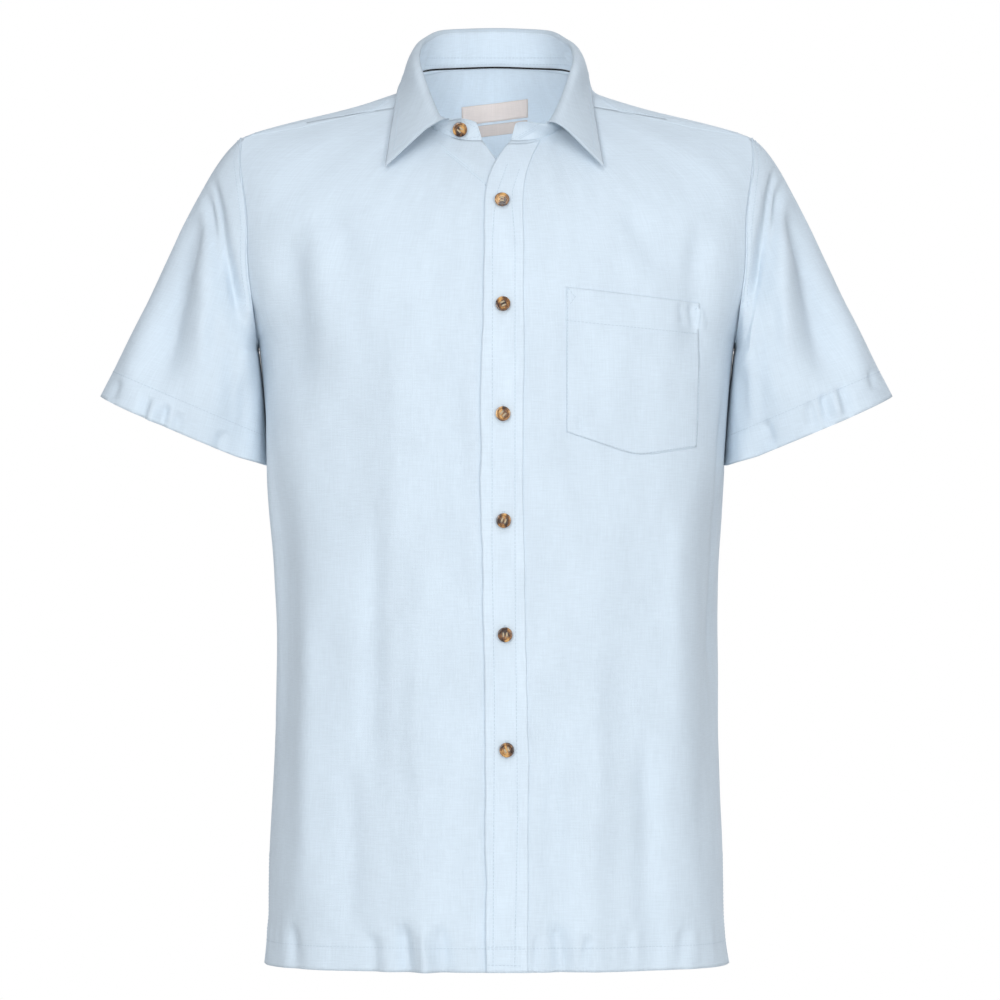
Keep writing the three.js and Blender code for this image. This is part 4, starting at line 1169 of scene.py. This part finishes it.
    def armhole(self, side, name, off):
        """A line round the armhole, on the sleeve, and this far off its seam."""
        own = cloth_trees(f"sleeve_{name}")
        solid = points_of(frame["nodes"][f"sleeve_{name}"].data)
        body = solids("front_left", "front_right", "back", "yoke")
        solid = [Vector(p) for p in solid]
        near = [p for p in solid if min(t.find_nearest(p)[3] for t in body) < ARMHOLE_NEAR]
        middle = sum(near, Vector()) / len(near)
        near.sort(key=lambda p: math.atan2(p.z - middle.z, p.y - middle.y))
        axis = Vector(sleeve_axis(side)[1])
        ring = []
        for p in between([*near, near[0]], ARMHOLE_STEP):
            out = p - middle
            out.x = 0
            aim = p + axis * off * ARMHOLE_ALONG + out.normalized() * ARMHOLE_LIFT
            aim.x += side * off * ARMHOLE_ACROSS
            ring.append(own[0].find_nearest(aim))
        return ring

    def sleeve(self, side, name):
        """Round the armhole, just outside its seam, and round the top of the sleeve's hem."""
        own = cloth_trees(f"sleeve_{name}")
        rows = stitched(self.armhole(side, name, ARMHOLE_STITCH))
        flip = Vector((side, 1, 1))
        middle = (CUFF_MIDDLE - CUFF_DOWN * SLEEVE_HEM_UP) * flip
        points, ways = [], []
        for k in range(SLEEVE_HEM_STEPS + 1):
            turn = 2 * math.pi * k / SLEEVE_HEM_STEPS
            way = CUFF_ACROSS.normalized() * math.cos(turn) + Vector((0, 1, 0)) * math.sin(turn)
            way = (way * flip).normalized()
            points.append(middle + way * SLEEVE_OUTSIDE)
            ways.append(-way)
        return rows + inward(own, points, ways)


# Buttons

BUTTON_RADIUS = 0.0063
BUTTON_THICKNESS = 0.0024
BUTTON_RIM = 0.0011
BUTTON_SLOPE = 0.0007
BUTTON_DISH = 0.0007
BUTTON_BEVEL = 0.00045
BEVEL_STEPS = 3
BUTTON_TURN = 0.4  # from one button to the next, in radians
BUTTON_SHARP = 35
NEARLY = 0.99
HOLE_RADIUS = 0.0008
HOLE_PITCH = 0.0015
HOLE_SIDES = 16
CUTTER = 0.01
BUTTON_THREAD = 0.0003
THREAD_LOOPS = 3
LOOP_PITCH = 0.0004
LOOP_LIFT = 0.0002
LOOP_PAST = 0.0008  # how much longer a loop is than from hole to hole
POST_DOWN = 0.0009
POST_LENGTH = 0.0034
BUTTONHOLE = 0.0155  # its length
BUTTONHOLE_PITCH = 0.00055
BUTTONHOLE_BAR = 0.0012
BUTTONHOLE_SIDE = 0.6  # from its middle to a bar's middle, in bars
BUTTONHOLE_THREAD = 0.0002
BUTTONHOLE_FRONT = Vector((0, -0.05, 0))
STAND_HOLE = (527, 134)  # in pixels of the photograph's frame
STAND_HOLE_UP = Vector((0.86, 0, 0.5))
STAND_HOLE_ACROSS = Vector((-0.5, 0, 0.86))


def picked(obj, faces=None, edges=None):
    """Selects only the faces or edges that the test takes, in edit mode."""
    bpy.ops.mesh.select_all(action="DESELECT")
    bm = bmesh.from_edit_mesh(obj.data)
    if faces:
        bpy.ops.mesh.select_mode(type="FACE")
        for face in bm.faces:
            face.select = faces(face)
    else:
        bpy.ops.mesh.select_mode(type="EDGE")
        for edge in bm.edges:
            edge.select = edges(edge)
    bm.select_flush_mode()
    bmesh.update_edit_mesh(obj.data)


def button_model():
    """One four-hole button, face up on the origin."""
    bpy.ops.object.select_all(action="DESELECT")
    bpy.ops.mesh.primitive_cylinder_add(
        vertices=settings().segments, radius=BUTTON_RADIUS, depth=BUTTON_THICKNESS
    )
    obj = bpy.context.active_object
    obj.name = "Button model"
    bpy.ops.object.mode_set(mode="EDIT")
    rim = BUTTON_RADIUS * NEARLY
    picked(obj, edges=lambda e: all(v.co.xy.length > rim for v in e.verts)
           and abs(e.verts[0].co.z - e.verts[1].co.z) < TINY)
    bpy.ops.mesh.bevel(offset=BUTTON_BEVEL, segments=BEVEL_STEPS)
    picked(obj, faces=lambda f: f.normal.z > NEARLY)
    bpy.ops.mesh.inset(thickness=BUTTON_RIM)
    bpy.ops.mesh.inset(thickness=BUTTON_SLOPE)
    bpy.ops.transform.translate(value=(0, 0, -BUTTON_DISH))
    bpy.ops.object.mode_set(mode="OBJECT")
    for x in (-HOLE_PITCH, HOLE_PITCH):
        for y in (-HOLE_PITCH, HOLE_PITCH):
            bpy.ops.object.select_all(action="DESELECT")
            bpy.ops.mesh.primitive_cylinder_add(
                vertices=HOLE_SIDES, radius=HOLE_RADIUS, depth=CUTTER, location=(x, y, 0)
            )
            cutter = bpy.context.active_object
            applied(obj, "BOOLEAN", operation="DIFFERENCE", object=cutter)
            bpy.data.objects.remove(cutter)
    smooth(obj, BUTTON_SHARP)
    return obj


def button_place(node):
    """Where a button's solid lies: its middle, and its axes across, up and out."""
    points = points_of(frame["nodes"][node].data)
    low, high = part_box(node)
    middle = np.array((low + high) / 2)
    out = Vector(np.linalg.svd(points - points.mean(0))[2][2])
    out = out if out.y < 0 else -out
    across = Vector((0, 0, 1)).cross(-out).normalized()
    across = across if across.x > 0 else -across
    return Vector(middle), across, out.cross(across), out


class SHIRT_OT_buttons(bpy.types.Operator):
    """Models the four-hole buttons, their thread and their buttonholes"""

    bl_idname = "shirt.buttons"
    bl_label = "Buttons"

    def execute(self, context):
        model = button_model()
        threads, bars = [], []
        spots = cloth_trees("placket", "collar_stand")
        for k, node in enumerate(BUTTON_NODES):
            middle, across, up, out = button_place(node)
            basis = Matrix((across, up, out)).transposed()
            basis = basis @ Matrix.Rotation(BUTTON_TURN * k, 3, "Z")
            mesh = model.data.copy()
            mesh.transform(Matrix.Translation(middle) @ basis.to_4x4())
            obj = linked(f"{node}_made", mesh)
            mesh.materials.clear()
            mesh.materials.append(finish_of("button"))
            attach(obj, "root")
            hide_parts(node)
            threads += self.thread(middle, basis)
            if node != "button_collar":
                bars += self.hole(spots, middle, up, across)
        stand_hole = seen(cloth_trees("collar_stand"), *STAND_HOLE)
        bars += self.hole(spots, stand_hole[0], STAND_HOLE_UP, STAND_HOLE_ACROSS)
        strands("button_threads", threads, BUTTON_THREAD, "button_thread")
        strands("buttonhole_stitches", bars, BUTTONHOLE_THREAD)
        bpy.data.objects.remove(model)
        return {"FINISHED"}

    def thread(self, middle, basis):
        """Two runs of thread over the button's face, and a post down through each hole."""
        rows = []
        top = BUTTON_THICKNESS / 2 - BUTTON_DISH + LOOP_LIFT
        across, out = basis @ Vector((1, 0, 0)), basis @ Vector((0, 0, 1))
        for y in (-HOLE_PITCH, HOLE_PITCH):
            for k in range(THREAD_LOOPS):
                off = (k - (THREAD_LOOPS - 1) / 2) * LOOP_PITCH
                place = middle + basis @ Vector((0, y + off, top))
                rows.append((place, across, out, 2 * HOLE_PITCH + LOOP_PAST))
            for x in (-HOLE_PITCH, HOLE_PITCH):
                place = middle + basis @ Vector((x, y, -POST_DOWN))
                rows.append((place, out, across, POST_LENGTH))
        return rows

    def hole(self, trees, middle, up, across):
        """Close bars of thread down both sides of a buttonhole."""
        rows = []
        count = round(BUTTONHOLE / BUTTONHOLE_PITCH)
        for k in range(count + 1):
            along = (k / count - 0.5) * BUTTONHOLE
            for side in (-1, 1):
                start = middle + up * along + across * (side * BUTTONHOLE_BAR * BUTTONHOLE_SIDE)
                hit = first_hit(trees, start + BUTTONHOLE_FRONT, -FORWARD)
                if hit:
                    rows.append((hit[0], across.normalized(), hit[1], BUTTONHOLE_BAR))
        return rows


class SHIRT_OT_panels(bpy.types.Operator):
    """Refines each panel of cloth from its solid, before it is pressed, sewn and creased"""

    bl_idname = "shirt.panels"
    bl_label = "Panels"

    def execute(self, context):
        for node in [*CUTS, "neck_tape"]:
            REFINED[node] = refined(node)
        for node in SEWN_NODES:
            REFINED_TREES[node] = tree_of(REFINED[node].data)[0]
        return {"FINISHED"}


class SHIRT_OT_body(bpy.types.Operator):
    """Builds the yoke, the back, the fronts, the placket and the pocket"""

    bl_idname = "shirt.body"
    bl_label = "Body"

    def execute(self, context):
        sleeves = solids("sleeve_left", "sleeve_right")
        for node in ("yoke", "back", "front_left", "front_right"):
            cloth(node, sleeves)
        for node in ("placket", "pocket"):
            cloth(node, [])
        return {"FINISHED"}


class SHIRT_OT_sleeves(bpy.types.Operator):
    """Builds the two sleeves"""

    bl_idname = "shirt.sleeves"
    bl_label = "Sleeves"

    def execute(self, context):
        body = solids("front_left", "front_right", "back", "yoke")
        for node in ("sleeve_left", "sleeve_right"):
            cloth(node, body)
        return {"FINISHED"}


class SHIRT_OT_collar(bpy.types.Operator):
    """Builds the collar's stand and leaf, the label, its tab and the neck tape"""

    bl_idname = "shirt.collar"
    bl_label = "Collar"

    def execute(self, context):
        tape = cloth("neck_tape", [])
        cloth("collar_stand", [])
        for node in ("collar_leaf", "label", "label_tab"):
            cloth(node, [])
        return {"FINISHED"}


# Studio

CAMERA_DISTANCE = 6.0
CAMERA_REACH = 30
SENSOR = 36.0
LIGHTS = [  # name, place, size and power
    ("Key", (-1.3, -4.5, 0.6), 1.4, 66),
    ("Fill", (1.7, -4.4, 0.1), 1.4, 59),
    ("Top", (0.0, -1.7, 1.7), 1.0, 12),
    ("Rear", (1.2, 3.4, 1.2), 2.2, 60),
]
LIGHTS_AIM = (0, 0, -0.36)
WITHIN = ("Within", (0, -0.02, -0.24), 0.12, 0.25)
WITHIN_AIM = (0, 0.08, 0.01)
FLOOR_Z = -0.95
FLOOR_RADIUS = 1.5
FLOOR_SIDES = 96
FLOOR_CLOUDS = 3.0
FLOOR_COLOURS = (0.80, 0.80, 0.79), (0.84, 0.84, 0.83)
SKY_STOPS = [(0.0, (1, 1, 1)), (0.085, (1, 1, 1)), (0.14, (0.40, 0.41, 0.43))]


def area_light(name, place, size, power, aim):
    """An area light that shines from its place towards its aim."""
    light = bpy.data.lights.new(name, "AREA")
    light.size = size
    light.energy = power
    lamp = linked(name, light)
    lamp.location = place
    lamp.rotation_euler = (Vector(aim) - Vector(place)).to_track_quat("-Z", "Y").to_euler()
    return lamp


class SHIRT_OT_studio(bpy.types.Operator):
    """Sets the camera, the lights and the pale floor"""

    bl_idname = "shirt.studio"
    bl_label = "Studio"

    def execute(self, context):
        scene = context.scene
        camera = bpy.data.cameras.new("Camera")
        camera.sensor_width = SENSOR
        camera.lens = SENSOR * CAMERA_DISTANCE / (PIXEL * PHOTO_SIDE * MM)
        camera.clip_end = CAMERA_REACH
        seat = linked("Camera", camera)
        seat.location = camera_place()
        seat.rotation_euler = (math.pi / 2, 0, 0)
        scene.camera = seat
        for row in LIGHTS:
            area_light(*row, LIGHTS_AIM).data.shape = "DISK"
        # Soft light from within on the back of the neck, where the others don't reach
        area_light(*WITHIN, WITHIN_AIM).visible_camera = False
        self.floor()
        self.sky(scene)
        return {"FINISHED"}

    def floor(self):
        bpy.ops.object.select_all(action="DESELECT")
        bpy.ops.mesh.primitive_circle_add(
            vertices=FLOOR_SIDES, radius=FLOOR_RADIUS, fill_type="NGON", location=(0, 0, FLOOR_Z)
        )
        floor = bpy.context.active_object
        floor.name = "Floor"
        m = Material("Pale floor")
        place = m.node("ShaderNodeTexCoord", {}, (), OBJECT_PLACE)
        cloud = m.noise(place, FLOOR_CLOUDS)
        colour = m.mix(cloud, *FLOOR_COLOURS)
        floor.data.materials.append(m.set(Base_Color=colour, Roughness=0.8))

    def sky(self, scene):
        """White near the horizon, where the camera looks, and dimmer above and below."""
        scene.world = bpy.data.worlds.new("Studio")
        scene.world.use_nodes = True
        tree = scene.world.node_tree
        way = Material.node_in(tree, "ShaderNodeTexCoord", {}, ())
        parts = Material.node_in(tree, "ShaderNodeSeparateXYZ", {}, [way], 2)
        rise = parts.math("ABSOLUTE")
        colour = Material.node_in(tree, "ShaderNodeValToRGB", {"stops": SKY_STOPS}, [rise])
        back = tree.nodes["Background"]
        tree.links.new(colour.link, back.inputs["Color"])
        scene.view_settings.view_transform = "Standard"


OPERATORS = [
    SHIRT_OT_studio,
    SHIRT_OT_panels,
    SHIRT_OT_body,
    SHIRT_OT_sleeves,
    SHIRT_OT_collar,
    SHIRT_OT_buttons,
    SHIRT_OT_stitching,
]


class SHIRT_PT_panel(bpy.types.Panel):
    """The shirt's settings and its pieces."""

    bl_idname = "SHIRT_PT_panel"
    bl_label = "Bush Shirt"
    bl_space_type = "VIEW_3D"
    bl_region_type = "UI"
    bl_category = "Shirt"

    def draw(self, context):
        for name in ShirtSettings.__annotations__:
            self.layout.prop(context.scene.shirt, name)
        for operator in OPERATORS:
            self.layout.operator(operator.bl_idname)


CLASSES = [ShirtSettings, *OPERATORS, SHIRT_PT_panel]


def register():
    for cls in CLASSES:
        bpy.utils.register_class(cls)
    bpy.types.Scene.shirt = PointerProperty(type=ShirtSettings)


def unregister():
    del bpy.types.Scene.shirt
    for cls in reversed(CLASSES):
        bpy.utils.unregister_class(cls)


def main():
    register()
    for operator in OPERATORS:
        group, name = operator.bl_idname.split(".")
        getattr(getattr(bpy.ops, group), name)()


if __name__ == "__main__":
    main()
